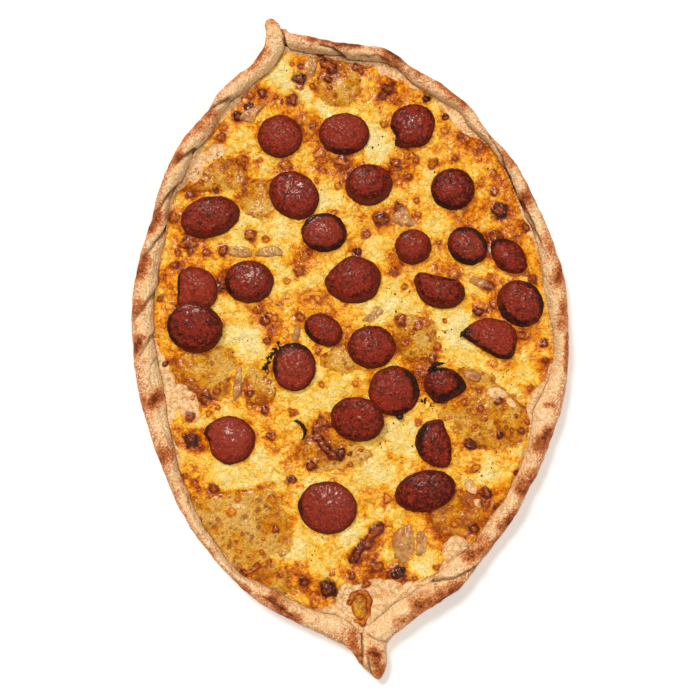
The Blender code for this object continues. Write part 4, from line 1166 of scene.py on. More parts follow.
@dataclass(frozen=True)
class OnionFinish:
    """Cooked onion: a wet tan veil with pale ribs, the baked cheese showing through it."""

    veil: tuple = display(144, 90, 48)
    rib: tuple = display(194, 138, 86)
    toast: tuple = display(112, 48, 22)

    def make(self) -> bpy.types.Material:
        """Return the material, driven by the fields edge and rib and those of the baked top.

        Returns:
            The new material.
        """
        board = Board("cooked_onion", **OILED)
        around, oil, relief = FillingFinish("baked_rim").top(board)
        fine = board.grain(0.8, 2.0, 0.6)
        mid = board.grain(2.4, 2.0, 0.5, move=51.0)
        rib = board.field("rib") * 0.16 + mid.swing(1.6)
        colour = board.mix(rib.between(-0.6, 0.8), self.veil, self.rib)
        edge = board.field("edge")
        brown = edge + mid.swing(1.6) + fine.swing(0.6)
        colour = board.mix(brown.between(0.45, 0.9) * 0.7, colour, self.toast)
        ending = (edge + mid.swing(0.8) + fine.swing(0.4)).between(0.80, 1.05)
        clear = (0.18 + mid.swing(0.8)).held().most(ending)
        colour = board.mix(clear, colour, around)
        board.set(Base_Color=colour, Coat_Weight=(0.50 + (oil - 0.50) * ending), Roughness=0.5)
        board.bump(fine * 0.2 + mid * 0.5 + relief * 0.3, 0.8, 1.0)
        return board.material


@dataclass(frozen=True)
class SausageFinish:
    """Cured sausage: red-brown meat with small fat grains, a darker skin and charred edges.

    Its darkening towards the edge is partly painted shade, and its pale specks are partly
    painted highlight.
    """

    meat: tuple = display(132, 36, 17)
    deep: tuple = display(66, 14, 6)
    pink: tuple = display(148, 56, 38)
    # pale specks in the meat: partly its grain, partly painted highlight
    pale: tuple = display(164, 68, 44)
    fat: tuple = display(196, 118, 92)
    skin: tuple = display(80, 30, 15)
    wall: tuple = display(112, 42, 22)
    char: tuple = display(34, 17, 11)

    def make(self) -> bpy.types.Material:
        """Return the material, driven by the fields inset, char and tint.

        Returns:
            The new material.
        """
        board = Board("sausage_slice", **OILED)
        fine = board.grain(1.1, 2.0, 0.7)
        mid = board.grain(2.0, 2.0, 0.55, warp=0.5, move=11.0)
        broad = board.grain(7.0, 2.0, 0.5, move=70.0)
        tint = board.field("tint")
        inset = board.field("inset")
        swirl = board.field("swirl")
        depth = mid.swing(2.2) + fine.swing(2.4) + broad.swing(1.6) + swirl * 0.6 + 0.56 - tint * 0.45
        # darker towards the edge: partly the cooked edge, partly painted shade of the dome
        depth += inset.between(3.6, 0.4) * 0.30 + board.grain(4.0, 2.0, 0.5, move=3.0).swing(1.4)
        # pale specks in the meat: partly its grain, partly painted highlight
        pale = board.grain(1.1, 2.0, 0.65, move=91.0) - GRAIN_MEAN + swirl * 0.10
        grains = board.spots(1.7, 5.0).between(0.26, 0.10)
        grains = grains * board.grain(2.6, 2.0, move=33.0).between(0.47, 0.60)
        specks = board.spots(1.9, 23.0).between(0.20, 0.08)
        specks = specks * board.grain(4.0, 2.0, move=17.0).between(0.46, 0.58)
        side = board.mix((fine + mid - 1.0).between(-0.25, 0.25), self.wall, self.skin)
        ring = 1.0 - (inset + 0.05).size() * 1.5 + mid.swing(1.2)
        mark = board.field("char")
        burnt = mark + (fine.swing(1.0) + mid.swing(1.2)) * mark.between(0.02, 0.3)
        colour = board.layered(
            self.meat,
            (depth.between(0.0, 1.0), self.deep),
            ((tint * 0.6 + broad.swing(1.2) - 0.24).held(), self.pink),
            (pale.between(0.04, 0.16) * (tint * 0.3 + 0.45), self.pale),
            (grains * (tint * 0.55 + 0.12), self.fat),
            (specks * 0.55, self.skin),
            (inset.between(-0.1, -0.7), side),
            (ring.between(0.1, 1.0) * 0.5, self.skin),
            (burnt.between(0.25, 1.10) * 0.92, self.char),
        )
        oil = board.field("sheen") * (1.0 + fine.swing(3.2) + mid.swing(2.4)) + burnt.between(0.5, 1.0) * 0.12
        board.set(Base_Color=colour, Coat_Weight=(oil * 1.1).held(), Roughness=0.5)
        board.bump(fine * 0.65 + mid * 0.50 + grains * 0.06, 0.95, 1.0)
        return board.material


@dataclass(frozen=True)
class FleckFinish:
    """Small bits of one colour family, such as pepper, char or dried herbs."""

    name: str
    dark: tuple
    light: tuple
    roughness: float = 0.6

    def make(self) -> bpy.types.Material:
        """Return the material.

        Returns:
            The new material.
        """
        board = Board(self.name, Specular_IOR_Level=0.15)
        fine = board.grain(0.4, 3.0, 0.6)
        board.set(Base_Color=board.mix(fine.between(0.35, 0.7), self.dark, self.light))
        board.set(Roughness=(self.roughness + fine.swing(0.3)))
        board.bump(fine, 0.6, 0.2)
        return board.material


# --- the bread --------------------------------------------------------------------------
@dataclass
class Crust:
    """The dough: a flat base and the roll folded up round its edge."""

    stations: int = 1440
    samples: int = 58
    crest: float = 12.6
    horn: float = 14.2
    tail: float = 10.2
    base: float = 4.4
    half_length: float = 164.8
    crease_reach: float = 4.5
    crease_lift: float = 0.8
    crease_sink: float = 0.6
    bumps: tuple = ((0.60, 17.0, 2.0), (0.42, 6.5, 3.0), (0.20, 2.6, 4.0))
    bubble_rise: float = 0.45

    def lines(self, count: int) -> tuple[np.ndarray, np.ndarray]:
        """Return the fold line and the outer edge, counterclockwise and evenly spaced.

        The pairs of points run along one smooth closed curve in four dimensions, which is
        then read at equal steps of the length of the line midway between the two edges.

        Args:
            count: number of stations.

        Returns:
            Points on the fold line and on the outer edge.
        """
        rows = closed_curve(RIM_LINES, 4000)
        middle = (rows[:, :2] + rows[:, 2:]) / 2
        step = np.linalg.norm(np.roll(middle, -1, axis=0) - middle, axis=1)
        length = np.concatenate([[0.0], np.cumsum(step)])
        wanted = np.linspace(0.0, length[-1], count, endpoint=False)
        place = np.interp(wanted, length, np.arange(len(rows) + 1))
        start = place.astype(int)
        share = (place - start)[:, None]
        even = rows[start] * (1 - share) + rows[(start + 1) % len(rows)] * share
        even = even[::-1]
        return even[:, :2], even[:, 2:]

    def crest_heights(self, outer: np.ndarray) -> np.ndarray:
        """Return the roll's height at each station: even, with slow swells, a horn and a tail.

        Args:
            outer: points on the outer edge.

        Returns:
            A height for each station, in millimetres.
        """
        lengthwise = outer[:, 1] / self.half_length
        turn = np.arctan2(outer[:, 1], outer[:, 0])
        swell = 0.5 * np.sin(9 * turn + 0.4) + 0.35 * np.sin(16 * turn + 1.9)
        to_horn = np.clip((lengthwise - 0.86) / 0.14, 0.0, 1.0)
        to_tail = np.clip((-lengthwise - 0.84) / 0.16, 0.0, 1.0)
        return self.crest + swell + (self.horn - self.crest) * to_horn + (self.tail - self.crest) * to_tail

    def roll(self) -> np.ndarray:
        """Return the smooth roll as rings: the section carried round both lines.

        Returns:
            The rings of points.
        """
        fold, outer = self.lines(self.stations)
        section = open_curve(RIM_SECTION, self.samples)
        plan = fold[None] + (outer - fold)[None] * section[:, 0, None, None]
        height = self.crest_heights(outer)[None] * section[:, 1, None]
        return np.concatenate([plan, height[..., None]], axis=-1)

    def pressed(self, points: np.ndarray) -> tuple[np.ndarray, np.ndarray]:
        """Return how far the folds sink or raise each point, and how deep in the creases it is, which sets
        the painted shade there.

        Each of the creases is a narrow bell-shaped groove; the dough to its left is lifted by an
        amount that dies away over a few millimetres.

        Args:
            points: places in millimetres, one a row.

        Returns:
            The rise in millimetres and the depth in the creases of 0 to 1, the mask of the painted shade, for
            each point.
        """
        wobble = points + 0.7 * sway(points, 6.0, (5.0, 6.0))
        shift = np.zeros(points.shape[:-1])
        crease = np.zeros(points.shape[:-1])
        for line, depth, half_width, lift in CREASES:
            distance, side = line_distance(wobble, line)
            groove = bell(distance / half_width)
            over = bell(distance / self.crease_reach) * ease(side, -0.3, 0.9)
            shift += self.crease_lift * lift * over * (1 - groove) - self.crease_sink * depth * groove
            crease = np.maximum(crease, groove * min(1.0, depth / 1.5))
        return shift, crease

    def scorched(self, points: np.ndarray) -> np.ndarray:
        """Return how scorched each point is, from the marks' distance with ragged borders.

        Args:
            points: places in millimetres, one a row.

        Returns:
            The scorch of each point, 0 to 1.
        """
        ragged = fractal(points, 5.0, 3, 12.0)
        total = np.zeros(points.shape[:-1])
        for x0, y0, x1, y1, half_width, strength in SCORCHES:
            distance, _ = line_distance(points, ((x0, y0), (x1, y1)))
            total = np.maximum(total, strength * np.exp(-((distance / half_width) ** 2) * 0.45))
        return np.clip(total * (1.0 + 0.6 * ragged), 0.0, 1.4) * (0.3 + 0.7 * ease(points[..., 2], 1.5, 8.0))

    def build(self, finish: bpy.types.Material) -> bpy.types.Object:
        """Build the bread as one closed surface, from its underside to the base under the cheese.

        Args:
            finish: the material the piece wears.

        Returns:
            The bread's object.
        """
        rings = self.roll()
        normal = surface_normals(rings)
        top = ease(rings[..., 2], 2.0, 7.0)
        away = rings[..., :2] / np.linalg.norm(rings[..., :2], axis=-1, keepdims=True)
        outward = np.sum(normal[..., :2] * away, axis=-1)
        shift, crease = self.pressed(rings)
        shift = shift * (1.0 - 0.85 * ease(outward, 0.45, 0.9))
        bumps = sum(rise * noise(rings, size, seed) for rise, size, seed in self.bumps)
        bubbles, _ = pebbles(rings, 7.5, 8.0)
        bumps += self.bubble_rise * ease(0.42 - bubbles, 0.0, 0.3) * ease(noise(rings, 20.0, 9.0), 0.0, 0.5)
        rings = rings + normal * ((bumps * (0.35 + 0.65 * top) + shift * top)[..., None])
        rings[..., 2] = np.maximum(rings[..., 2], 0.0)
        rings[0, :, 2] = 0.0
        fold = rings[-1, :, :2]
        foot = rings[0, :, :2]
        under = [flat_ring(foot * share, 0.0) for share in (0.55, 0.96)]
        floor = [flat_ring(fold * 0.985, self.base), flat_ring(fold * 0.5, self.base)]
        whole = np.concatenate([np.stack(under), rings, np.stack(floor)])
        surface = Surface.from_rings(whole, np.array([0.0, 0.0, 0.0]), np.array([0.0, 0.0, self.base]))
        surface.fields = self.browning(surface.points, crease, outward)
        return place_piece(surface.make("crust"), finish, Kind.DOUGH, "dough")

    def contact_shade(self, points: np.ndarray) -> np.ndarray:
        """Return painted shade: 1 low on the inner wall, where the roll meets the filling, and 0 elsewhere.

        Args:
            points: places in millimetres, one a row.

        Returns:
            The painted shade of each point, 0 to 1.
        """
        inner = np.zeros(len(points))
        low = 1 + (2 + self.samples * 3 // 4) * self.stations
        inner[low:] = 1.0 - ease(points[low:, 2], 8.4, 10.0)
        return inner * (0.3 + 0.6 * ease(noise(points, 9.0, 15.0), -0.5, 0.4))

    def browning(self, points: np.ndarray, crease: np.ndarray, outward: np.ndarray) -> dict[str, np.ndarray]:
        """Return the fields of the crust's colour at every point.

        The tan grows with the outward slope and on bumps; the underside is evenly tanned. The painted
        shade is darker in the creases and low on the inner wall by the filling.

        Args:
            points: places in millimetres, one a row.
            crease: how deep in the creases each point is, the mask of the painted shade.
            outward: outward unit normal at each point.

        Returns:
            The fields by name.
        """
        groove_shade = np.zeros(len(points))
        first = 1 + 2 * self.stations
        last = first + crease.size
        groove_shade[first:last] = crease.ravel()
        # painted shade: the creases and the foot of the inner wall, darkened in the crust's colour
        groove_shade = np.maximum(groove_shade, self.contact_shade(points))
        slope = np.zeros(len(points))
        slope[first:last] = outward.ravel()
        tan = 0.08 + 0.78 * ease(slope, -0.25, 0.8) + 0.50 * fractal(points, 22.0, 3, 21.0)
        tan = np.where(points[:, 2] < 0.5, 0.85, tan)
        return {"tan": tan, "scorch": self.scorched(points), "crease": groove_shade}


@dataclass
class Seat:
    """A slice's footprint on the filling: its centre and its reach in every direction."""

    centre: np.ndarray
    reach: np.ndarray

    @classmethod
    def from_outline(cls, centre: tuple[float, float], outline: np.ndarray) -> "Seat":
        """Tabulate the reach of an outline at every degree.

        Args:
            centre: the topping's centre in plan.
            outline: its outline about the centre.

        Returns:
            The footprint.
        """
        angle = np.arctan2(outline[:, 1], outline[:, 0])
        order = np.argsort(angle)
        radius = np.linalg.norm(outline, axis=1)[order]
        wanted = np.radians(np.arange(-180, 181))
        reach = np.interp(wanted, angle[order], radius, period=math.tau)
        return cls(np.asarray(centre, dtype=float), reach)

    def outside(self, points: np.ndarray) -> np.ndarray:
        """Return roughly how far each point is outside the outline, negative inside.

        Far from the slice the outline counts as a circle of its longest reach.

        Args:
            points: places in millimetres, one a row.

        Returns:
            The distances in millimetres.
        """
        offset = points[..., :2] - self.centre
        distance = np.linalg.norm(offset, axis=-1)
        away = distance - self.reach.max()
        near = away < self.reach.max()
        degrees = np.degrees(np.arctan2(offset[near, 1], offset[near, 0]))
        away[near] = distance[near] - np.interp(degrees, np.arange(-180, 181), self.reach)
        return away


@dataclass
class Browning:
    """How the oven left the filling: toasted, blistered, bare or thin at any place."""

    potatoes: list[Seat]
    sausages: list[Seat]
    mean_level: float = 0.36
    contrast: float = 1.2
    # browner in a band round each slice: partly browning, partly painted contact shade
    slice_toast_and_shade: float = 0.12
    vein_gain: float = 0.08
    broad_gain: float = 0.26
    shred_gain: float = 0.10
    halo_gain: float = 0.40
    halo_reach: float = 1.45
    most_toast: float = 0.84
    blister_rise: float = 0.32

    def bare(self, points: np.ndarray, edge: np.ndarray) -> np.ndarray:
        """Return how bare of cheese each point is: on ragged ellipses and strips along the rim.

        A strip is as wide as the largest of the bells round its places, less where it is ragged.

        Args:
            points: places in millimetres, one a row.
            edge: each point's distance from the fold line.

        Returns:
            The share bare, 0 to 1.
        """
        ragged = fractal(points, 7.0, 3, 44.0)
        width = np.zeros(points.shape[:-1])
        for x, y, reach, widest in RIM_GAPS:
            width = np.maximum(width, widest * bell_spot(points, x, y, reach))
        strip = ease(width * (1.0 + 0.5 * ragged) + 0.8 * ragged - edge, -0.7, 0.7)
        return np.maximum(self.patches(points, BARE_PATCHES, ragged), strip)

    def film(self, points: np.ndarray) -> np.ndarray:
        """Return how thin the cheese is over potato: 1 inside each slice and on a few patches.

        Args:
            points: places in millimetres, one a row.

        Returns:
            The film of each point, 0 to 1.
        """
        ragged = fractal(points, 9.0, 4, 47.0, 0.6)
        total = self.patches(points, FILM_PATCHES, ragged)
        for seat in self.potatoes:
            away = seat.outside(points) + 2.2 * ragged
            total = np.maximum(total, 1.0 - ease(away, -2.0, 2.0))
        return total

    def patches(self, points: np.ndarray, table: tuple, ragged: np.ndarray) -> np.ndarray:
        """Return the union of turned ellipses whose borders wander by the ragged field.

        Args:
            points: places in millimetres, one a row.
            table: ellipses: centre, half sizes and turn.
            ragged: how far the borders wander at each point.

        Returns:
            The union, 0 to 1.
        """
        total = np.zeros(points.shape[:-1])
        for x, y, half_length, half_width, turn in table:
            offset = turned(points[..., :2] - (x, y), -turn)
            share = np.hypot(offset[..., 0] / half_length, offset[..., 1] / half_width)
            total = np.maximum(total, 1.0 - ease(share + 0.30 * ragged, 0.75, 1.2))
        return total

    def toast(self, points: np.ndarray) -> np.ndarray:
        """Return how browned the top is.

        The mean of the patches' levels, nearest first, is raised round blisters, along the
        slices and in veins between lumps, and varied by layers of noise. The rise along the
        slices is partly browning and partly painted contact shade.

        Args:
            points: places in millimetres, one a row.

        Returns:
            The toast of each point, 0 to 1.
        """
        weight = np.full(points.shape[:-1], 0.18)
        total = weight * self.mean_level
        for x, y, radius, level in TONE_PATCHES:
            near = bell_spot(points, x, y, radius)
            weight += near
            total += near * level
        toast = self.mean_level + self.contrast * (total / weight - 0.38)
        # browner in a band round each slice: partly browning, partly painted contact shade
        for seats, reach in ((self.sausages, 1.8), (self.potatoes, 2.0)):
            for seat in seats:
                toast += self.slice_toast_and_shade * bell(seat.outside(points) / reach)
        bent = points + 2.2 * sway(points, 6.0, (3.0, 13.0))
        near, second = pebbles(bent, 5.5, 4.0)
        toast += self.vein_gain * (1.0 - ease(second - near, 0.0, 0.35)) - 0.06
        for line, half_width, gain in TOAST_LINES:
            toast += gain * bell(line_distance(bent, line)[0] / half_width)
        return toast + self.broad_gain * fractal(points, 15.0, 3, 9.0, 0.6) + self.shred_gain * shreds(points)

    def blistered(self, points: np.ndarray) -> tuple[np.ndarray, np.ndarray, np.ndarray]:
        """Return where each point lies in its nearest blister, how dark that is, and its rise.

        The place is 1 in a blister's middle, 0 at its ragged edge and falls on outside; a
        blister rises as a dome: one minus the square of the share of its radius, to the power 0.7.

        Args:
            points: places in millimetres, one a row.

        Returns:
            The place, the darkness and the rise in millimetres of each point.
        """
        points = points + 1.1 * sway(points, 4.5, (71.0, 72.0))
        ragged = 0.34 * fractal(points, 2.8, 2, 61.0)
        share = np.full(points.shape[:-1], 3.0)
        darkness = np.full(points.shape[:-1], 0.6)
        height = np.zeros(points.shape[:-1])
        ridges = [(((x, y), (x + 0.1, y)), radius, dark) for x, y, radius, dark in BLISTERS]
        for line, radius, dark in (*ridges, *RIDGES):
            corners = np.asarray(line)
            box = np.abs(points[..., :2] - (corners.max(axis=0) + corners.min(axis=0)) / 2)
            reach = np.ptp(corners, axis=0) / 2 + radius * 3.0
            near = np.nonzero((box < reach).all(axis=-1))
            here = line_distance(points[near], line)[0] / radius + ragged[near]
            closer = here < share[near]
            share[near] = np.where(closer, here, share[near])
            darkness[near] = np.where(closer, dark, darkness[near])
            dome = self.blister_rise * min(radius, 3.0) * np.clip(1.0 - here**2, 0.0, 1.0) ** 0.7
            height[near] = np.maximum(height[near], dome)
        return 1.0 - share, darkness, height

    def fields(
        self, points: np.ndarray, edge: np.ndarray | float = 99.0
    ) -> tuple[dict[str, np.ndarray], np.ndarray]:
        """Return the colour's fields at the points, and how far blisters raise them.

        Args:
            points: positions, of which x and y are used.
            edge: their distance from the rim's fold line.

        Returns:
            The fields by name, and the rise.
        """
        pock, darkness, raised = self.blistered(points)
        halo = darkness * bell((1.0 - pock) / self.halo_reach)
        toast = np.clip(self.toast(points) + self.halo_gain * halo, 0.0, self.most_toast)
        bare = self.bare(points, np.asarray(edge))
        fields = {"toast": toast, "pock": pock, "dark": darkness, "bare": bare, "film": self.film(points)}
        return fields, raised


@dataclass
class Filling:
    """The cheese: one surface from fold to fold, sunk at the potato and banked at the sausage."""

    rim: Crust
    browning: Browning
    rows: int = 661
    columns: int = 286
    level: float = 7.75
    low: float = 4.6
    swell: float = 0.40
    lump: float = 0.60
    grain: float = 0.16
    shred: float = 0.22
    crisping: float = 0.8
    bare_sink: float = 0.9
    film_sink: float = 0.35
    potato_sink: float = 1.6
    bank_top: float = 8.8
    bank_reach: float = 1.3
    grid: np.ndarray | None = None

    def plan(self) -> np.ndarray:
        """Return the grid's points in plan.

        Row by row along Y, each row runs from the fold line on the left to the one on the
        right, reaching slightly under the roll.

        Returns:
            The points in plan, by row and by place in the row.
        """
        fold, _ = self.rim.lines(3000)
        fold = fold * (1.0 + 0.5 / np.linalg.norm(fold, axis=1, keepdims=True))
        top, bottom = np.argmax(fold[:, 1]), np.argmin(fold[:, 1])
        left = np.roll(fold, -top, axis=0)[: (bottom - top) % len(fold)]
        right = np.roll(fold, -bottom, axis=0)[: (top - bottom) % len(fold)]
        along = np.linspace(fold[bottom, 1] + 0.25, fold[top, 1] - 0.25, self.rows)
        low = np.interp(along, left[::-1, 1], left[::-1, 0])
        high = np.interp(along, right[:, 1], right[:, 0])
        share = np.linspace(0.0, 1.0, self.columns)
        across = low[:, None] + (high - low)[:, None] * share[None]
        lengthwise = np.broadcast_to(along[:, None], across.shape)
        return np.stack([across, lengthwise, np.zeros_like(across)], axis=-1)

    def from_fold(self, points: np.ndarray) -> np.ndarray:
        """Return each point's distance from the fold line.

        Args:
            points: places in millimetres, one a row.

        Returns:
            The distances in millimetres.
        """
        fold, _ = self.rim.lines(420)
        blocks = np.array_split(points[..., :2].reshape(-1, 2), 40)
        nearest = [np.linalg.norm(block[:, None] - fold[None], axis=-1).min(axis=1) for block in blocks]
        return np.concatenate(nearest).reshape(points.shape[:-1])

    def surface(self, points: np.ndarray) -> tuple[np.ndarray, dict[str, np.ndarray]]:
        """Return the cheese's height at each point in plan, and the fields of its colour.

        Args:
            points: places in millimetres, one a row.

        Returns:
            The heights in millimetres and the fields by name.
        """
        edge = self.from_fold(points)
        fields, raised = self.browning.fields(points, edge)
        broad = fractal(points, 24.0, 2, 1.0)
        lumps = 1.0 - np.abs(fractal(points, 7.0, 3, 2.0)) * 1.8
        height = self.level + self.swell * broad + self.lump * lumps
        height += self.grain * fractal(points, 2.4, 2, 6.0)
        height -= self.shred * shreds(points)
        # browner in a thin band at the fold line: partly the cheese's browned edge, partly painted shade
        # where it meets the roll
        fields["toast"] = fields["toast"] + 0.15 * bell(edge / 0.5)
        height -= self.crisping * (fields["toast"] - 0.35)
        height -= self.bare_sink * fields["bare"] + self.film_sink * fields["film"]
        height += raised
        ragged = 1.6 * fractal(points, 6.0, 3, 7.0)
        for seat in self.browning.potatoes:
            height -= self.potato_sink * (1.0 - ease(seat.outside(points) + ragged, -4.0, -1.6))
        for seat in self.browning.sausages:
            bank = bell(np.maximum(seat.outside(points), 0.0) / self.bank_reach)
            height += bank * np.maximum(self.bank_top - height, 0.0) * 0.8
        height = np.minimum(height, 6.9 + 0.9 * ease(edge, 0.0, 1.6) + ease(edge, 0.6, 4.5) * 3.0)
        return height, fields

    def build(self, finish: bpy.types.Material) -> None:
        """Build the cheese in two halves that meet along a row of the grid.

        Args:
            finish: the material the piece wears.
        """
        grid = self.plan()
        grid[..., 2], fields = self.surface(grid)
        self.grid = grid
        middle = self.rows // 2
        for name, part in (("tail_half", slice(0, middle + 1)), ("horn_half", slice(middle, self.rows))):
            surface = self.closed(grid[part], {key: values[part] for key, values in fields.items()})
            piece = place_piece(surface.make(f"cheese_{name}"), finish, Kind.CHEESE, "cheese")
            piece.data.set_sharp_from_angle(angle=math.radians(75.0))

    def closed(self, grid: np.ndarray, fields: dict[str, np.ndarray]) -> Surface:
        """Return part of the grid as a closed surface, with a skirt and a plain underside.

        Args:
            grid: points of the top, by row and by place in the row.
            fields: the fields of those points.

        Returns:
            The closed surface.
        """
        rows, columns = grid.shape[:2]
        index = np.arange(rows * columns).reshape(rows, columns)
        quads = np.stack([index[:-1, :-1], index[:-1, 1:], index[1:, 1:], index[1:, :-1]], axis=-1)
        left, right = grid[:, 0].copy(), grid[:, -1].copy()
        left[:, 2] = right[:, 2] = self.low
        low_left = rows * columns + np.arange(rows)
        low_right = low_left + rows
        west = np.stack([low_left[:-1], index[:-1, 0], index[1:, 0], low_left[1:]], axis=-1)
        east = np.stack([index[:-1, -1], low_right[:-1], low_right[1:], index[1:, -1]], axis=-1)
        under = np.stack([low_right[:-1], low_left[:-1], low_left[1:], low_right[1:]], axis=-1)
        south = np.concatenate([[low_left[0], low_right[0]], index[0, ::-1]])[None]
        north = np.concatenate([[low_right[-1], low_left[-1]], index[-1]])[None]
        points = np.vstack([grid.reshape(-1, 3), left, right])
        skirted = {
            name: np.concatenate([values.ravel(), values[:, 0], values[:, -1]])
            for name, values in fields.items()
        }
        return Surface(points, [quads.reshape(-1, 4), west, east, under, south, north], skirted)

    def height_at(self, places: np.ndarray) -> np.ndarray:
        """Return the height of the finished cheese at the grid point nearest each place.

        Args:
            places: places in plan.

        Returns:
            The heights in millimetres.
        """
        rows = np.abs(self.grid[:, 0, 1][None] - places[:, 1, None]).argmin(axis=1)
        columns = np.abs(self.grid[rows, :, 0] - places[:, 0, None]).argmin(axis=1)
        return self.grid[rows, columns, 2]


# --- toppings ---------------------------------------------------------------------------
@dataclass
class Topping:
    """A slice or strip: its number, its entry in the table, and the solid that it stands for."""

    number: int
    entry: tuple
    around: int
    food: str
    form: str
    kind: Kind

    @property
    def centre(self) -> np.ndarray:
        """The topping's centre in plan."""
        return np.array(self.entry[:2])

    @property
    def solid(self) -> str:
        """The name of the solid's node."""
        return f"{self.food}_{self.number:02d}"

    def heights(self) -> tuple[float, float]:
        """Return the lowest and the highest level of the solid, in millimetres."""
        low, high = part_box(self.solid)
        return low.z / METRES, high.z / METRES

    def outline(self) -> np.ndarray:
        """Return the outline about the centre: a curve through the entry's points or its ellipse.

        Returns:
            The outline in millimetres.
        """
        shape = self.entry[2]
        if isinstance(shape[0], tuple):
            return closed_curve(shape, self.around)
        half_long, half_short, turn = shape
        angle = np.arange(8) * math.tau / 8
        ellipse = np.stack([half_long * np.cos(angle), half_short * np.sin(angle)], axis=1)
        return closed_curve(turned(ellipse, turn), self.around)

    def seat(self) -> Seat:
        """Return the topping's footprint."""
        return Seat.from_outline(self.entry[:2], self.outline())

    def lay(self, surface: Surface, finish: bpy.types.Material) -> bpy.types.Object:
        """Make the surface into the piece that stands for the solid."""
        name = f"{self.food}_{self.form}_{self.number:02d}"
        return place_piece(surface.make(name), finish, self.kind, self.solid)


@dataclass
class SausageSlice(Topping):
    """One slice of sausage: a thin domed disc, cut aslant so a wall shows."""

    around: int = 120
    food: str = "sausage"
    form: str = "slice"
    kind: Kind = Kind.SAUSAGE
    thickness: float = 2.9

    def outline(self) -> np.ndarray:
        """Return the slice's outline about its centre, slightly uneven.

        Returns:
            The outline in millimetres.
        """
        base = super().outline()
        radius = np.linalg.norm(base, axis=1, keepdims=True)
        place = flat_ring(base + self.centre, self.number * 9.0)
        uneven = 0.30 * noise(place, 6.0, 1.0) + 0.28 * noise(place, 1.7, 4.0) - 0.1
        return base * (1.0 + uneven[:, None] / radius)

    def underside(self, plan: np.ndarray) -> np.ndarray:
        """Return the height of the leaning plane the slice lies in, from the solid's box.

        Args:
            plan: points in plan about the centre.

        Returns:
            The heights in millimetres.
        """
        low, _ = self.heights()
        rise, direction = self.entry[3]
        reach = np.linalg.norm(self.outline(), axis=1).max()
        toward = np.array([math.cos(math.radians(direction)), math.sin(math.radians(direction))])
        return low + rise / (2 * reach) * (plan @ toward + reach)

    def charring(self, outline: np.ndarray) -> tuple[np.ndarray, np.ndarray]:
        """Return the char's strength and width at each place round the edge.

        Args:
            outline: the slice's outline about its centre.

        Returns:
            The strength of 0 to 1 and the width in millimetres.
        """
        degrees = np.degrees(np.arctan2(outline[:, 1], outline[:, 0]))
        strength = np.full(len(outline), 0.06)
        width = np.full(len(outline), 0.8)
        for direction, half_angle, wide in self.entry[5]:
            apart = np.abs((degrees - direction + 180.0) % 360.0 - 180.0)
            here = 1.0 - ease(apart, half_angle * 0.6, half_angle * 1.35)
            strength = np.maximum(strength, here)
            width = np.maximum(width, (wide + 0.4) * here)
        return strength, width

    def build(self, finish: bpy.types.Material) -> bpy.types.Object:
        """Build the slice.

        Rings run from the underside out to the foot, up the slanting wall to the cut's edge
        and in to the middle; the cut's outline is the foot's, drawn in and moved away from
        the side whose wall shows. The cut is a low dome with a rounded shoulder and wrinkles.

        Args:
            finish: the material the piece wears.

        Returns:
            The slice's object.
        """
        foot = self.outline()
        slant = np.array(self.entry[4])
        size = np.linalg.norm(foot, axis=1).mean()
        draw = 1.0 - (np.linalg.norm(slant) * 0.5 + 0.35) / size
        cut = foot * draw - slant * 0.5
        strength, width = self.charring(foot)
        rings, insets, chars = [], [], []
        for share, rise in ((0.35, 0.0), (0.7, 0.0), (0.93, 0.02), (0.985, 0.12)):
            rings.append(self.lift(foot * share, rise))
            insets.append(np.full(self.around, -self.thickness))
            chars.append(strength * 0.5)
        for share in np.linspace(0.0, 1.0, 9):
            plan = (foot * (1 - share) + cut * share) * (1.0 + 0.35 * math.sin(math.pi * share) / size)
            rings.append(self.lift(plan, 0.25 + share * (self.thickness - 1.30)))
            insets.append(np.full(self.around, self.thickness * (share - 1.0)))
            chars.append(strength * (0.5 + 0.5 * share))
        for share in 1.0 - np.linspace(0.0, 1.0, 31)[1:-1] ** 1.2:
            plan = cut * share - slant * 0.15 * (1 - share)
            inset = (1.0 - share) * np.linalg.norm(cut, axis=1)
            shoulder = ease(inset, -0.8, 1.8) - ease(np.array(0.0), -0.8, 1.8)
            ring = self.lift(plan, self.thickness - 1.05 + 0.7 * shoulder + 1.15 * (1.0 - share**2))
            ring[:, 2] += self.wrinkles(plan) * ease(inset, 0.0, 1.5)
            rings.append(ring)
            insets.append(inset)
            chars.append(strength * (1.0 - ease(inset, width * 0.3, width * 1.5)))
        stack = np.stack(rings)
        crumble = np.stack(chars) * noise(stack, 1.1, 7.0)
        stack[..., 2] += 0.35 * crumble * ease(stack[..., 2], 9.6, 10.6)
        middle_low = np.append(self.centre, self.underside(np.zeros((1, 2)))[0])
        surface = Surface.from_rings(stack, middle_low, stack[-1].mean(axis=0))
        surface.fields = {
            "inset": np.concatenate([[-self.thickness], np.concatenate(insets), [size]]),
            "char": np.concatenate([[0.0], np.concatenate(chars), [0.0]]),
            "tint": np.full(len(surface.points), PALENESS[self.number - 1]),
            "swirl": self.swirl(surface.points[:, :2] - self.centre),
            "sheen": self.sheen(surface.points[:, :2] - self.centre),
        }
        return self.lay(surface, finish)

    def wrinkles(self, plan: np.ndarray) -> np.ndarray:
        """Return the relief of the cut: ridges between soft cells, and a fine grain.

        Args:
            plan: points in plan about the centre.

        Returns:
            The relief in millimetres.
        """
        place = flat_ring(plan, self.number * 5.0)
        ridges = 0.30 * np.abs(noise(place, 3.8, 2.0))
        grain = 0.16 * noise(place, 2.2, 5.0)
        return ridges + grain + 0.05 * noise(place, 1.1, 3.0) + 0.10 * self.swirl(plan)

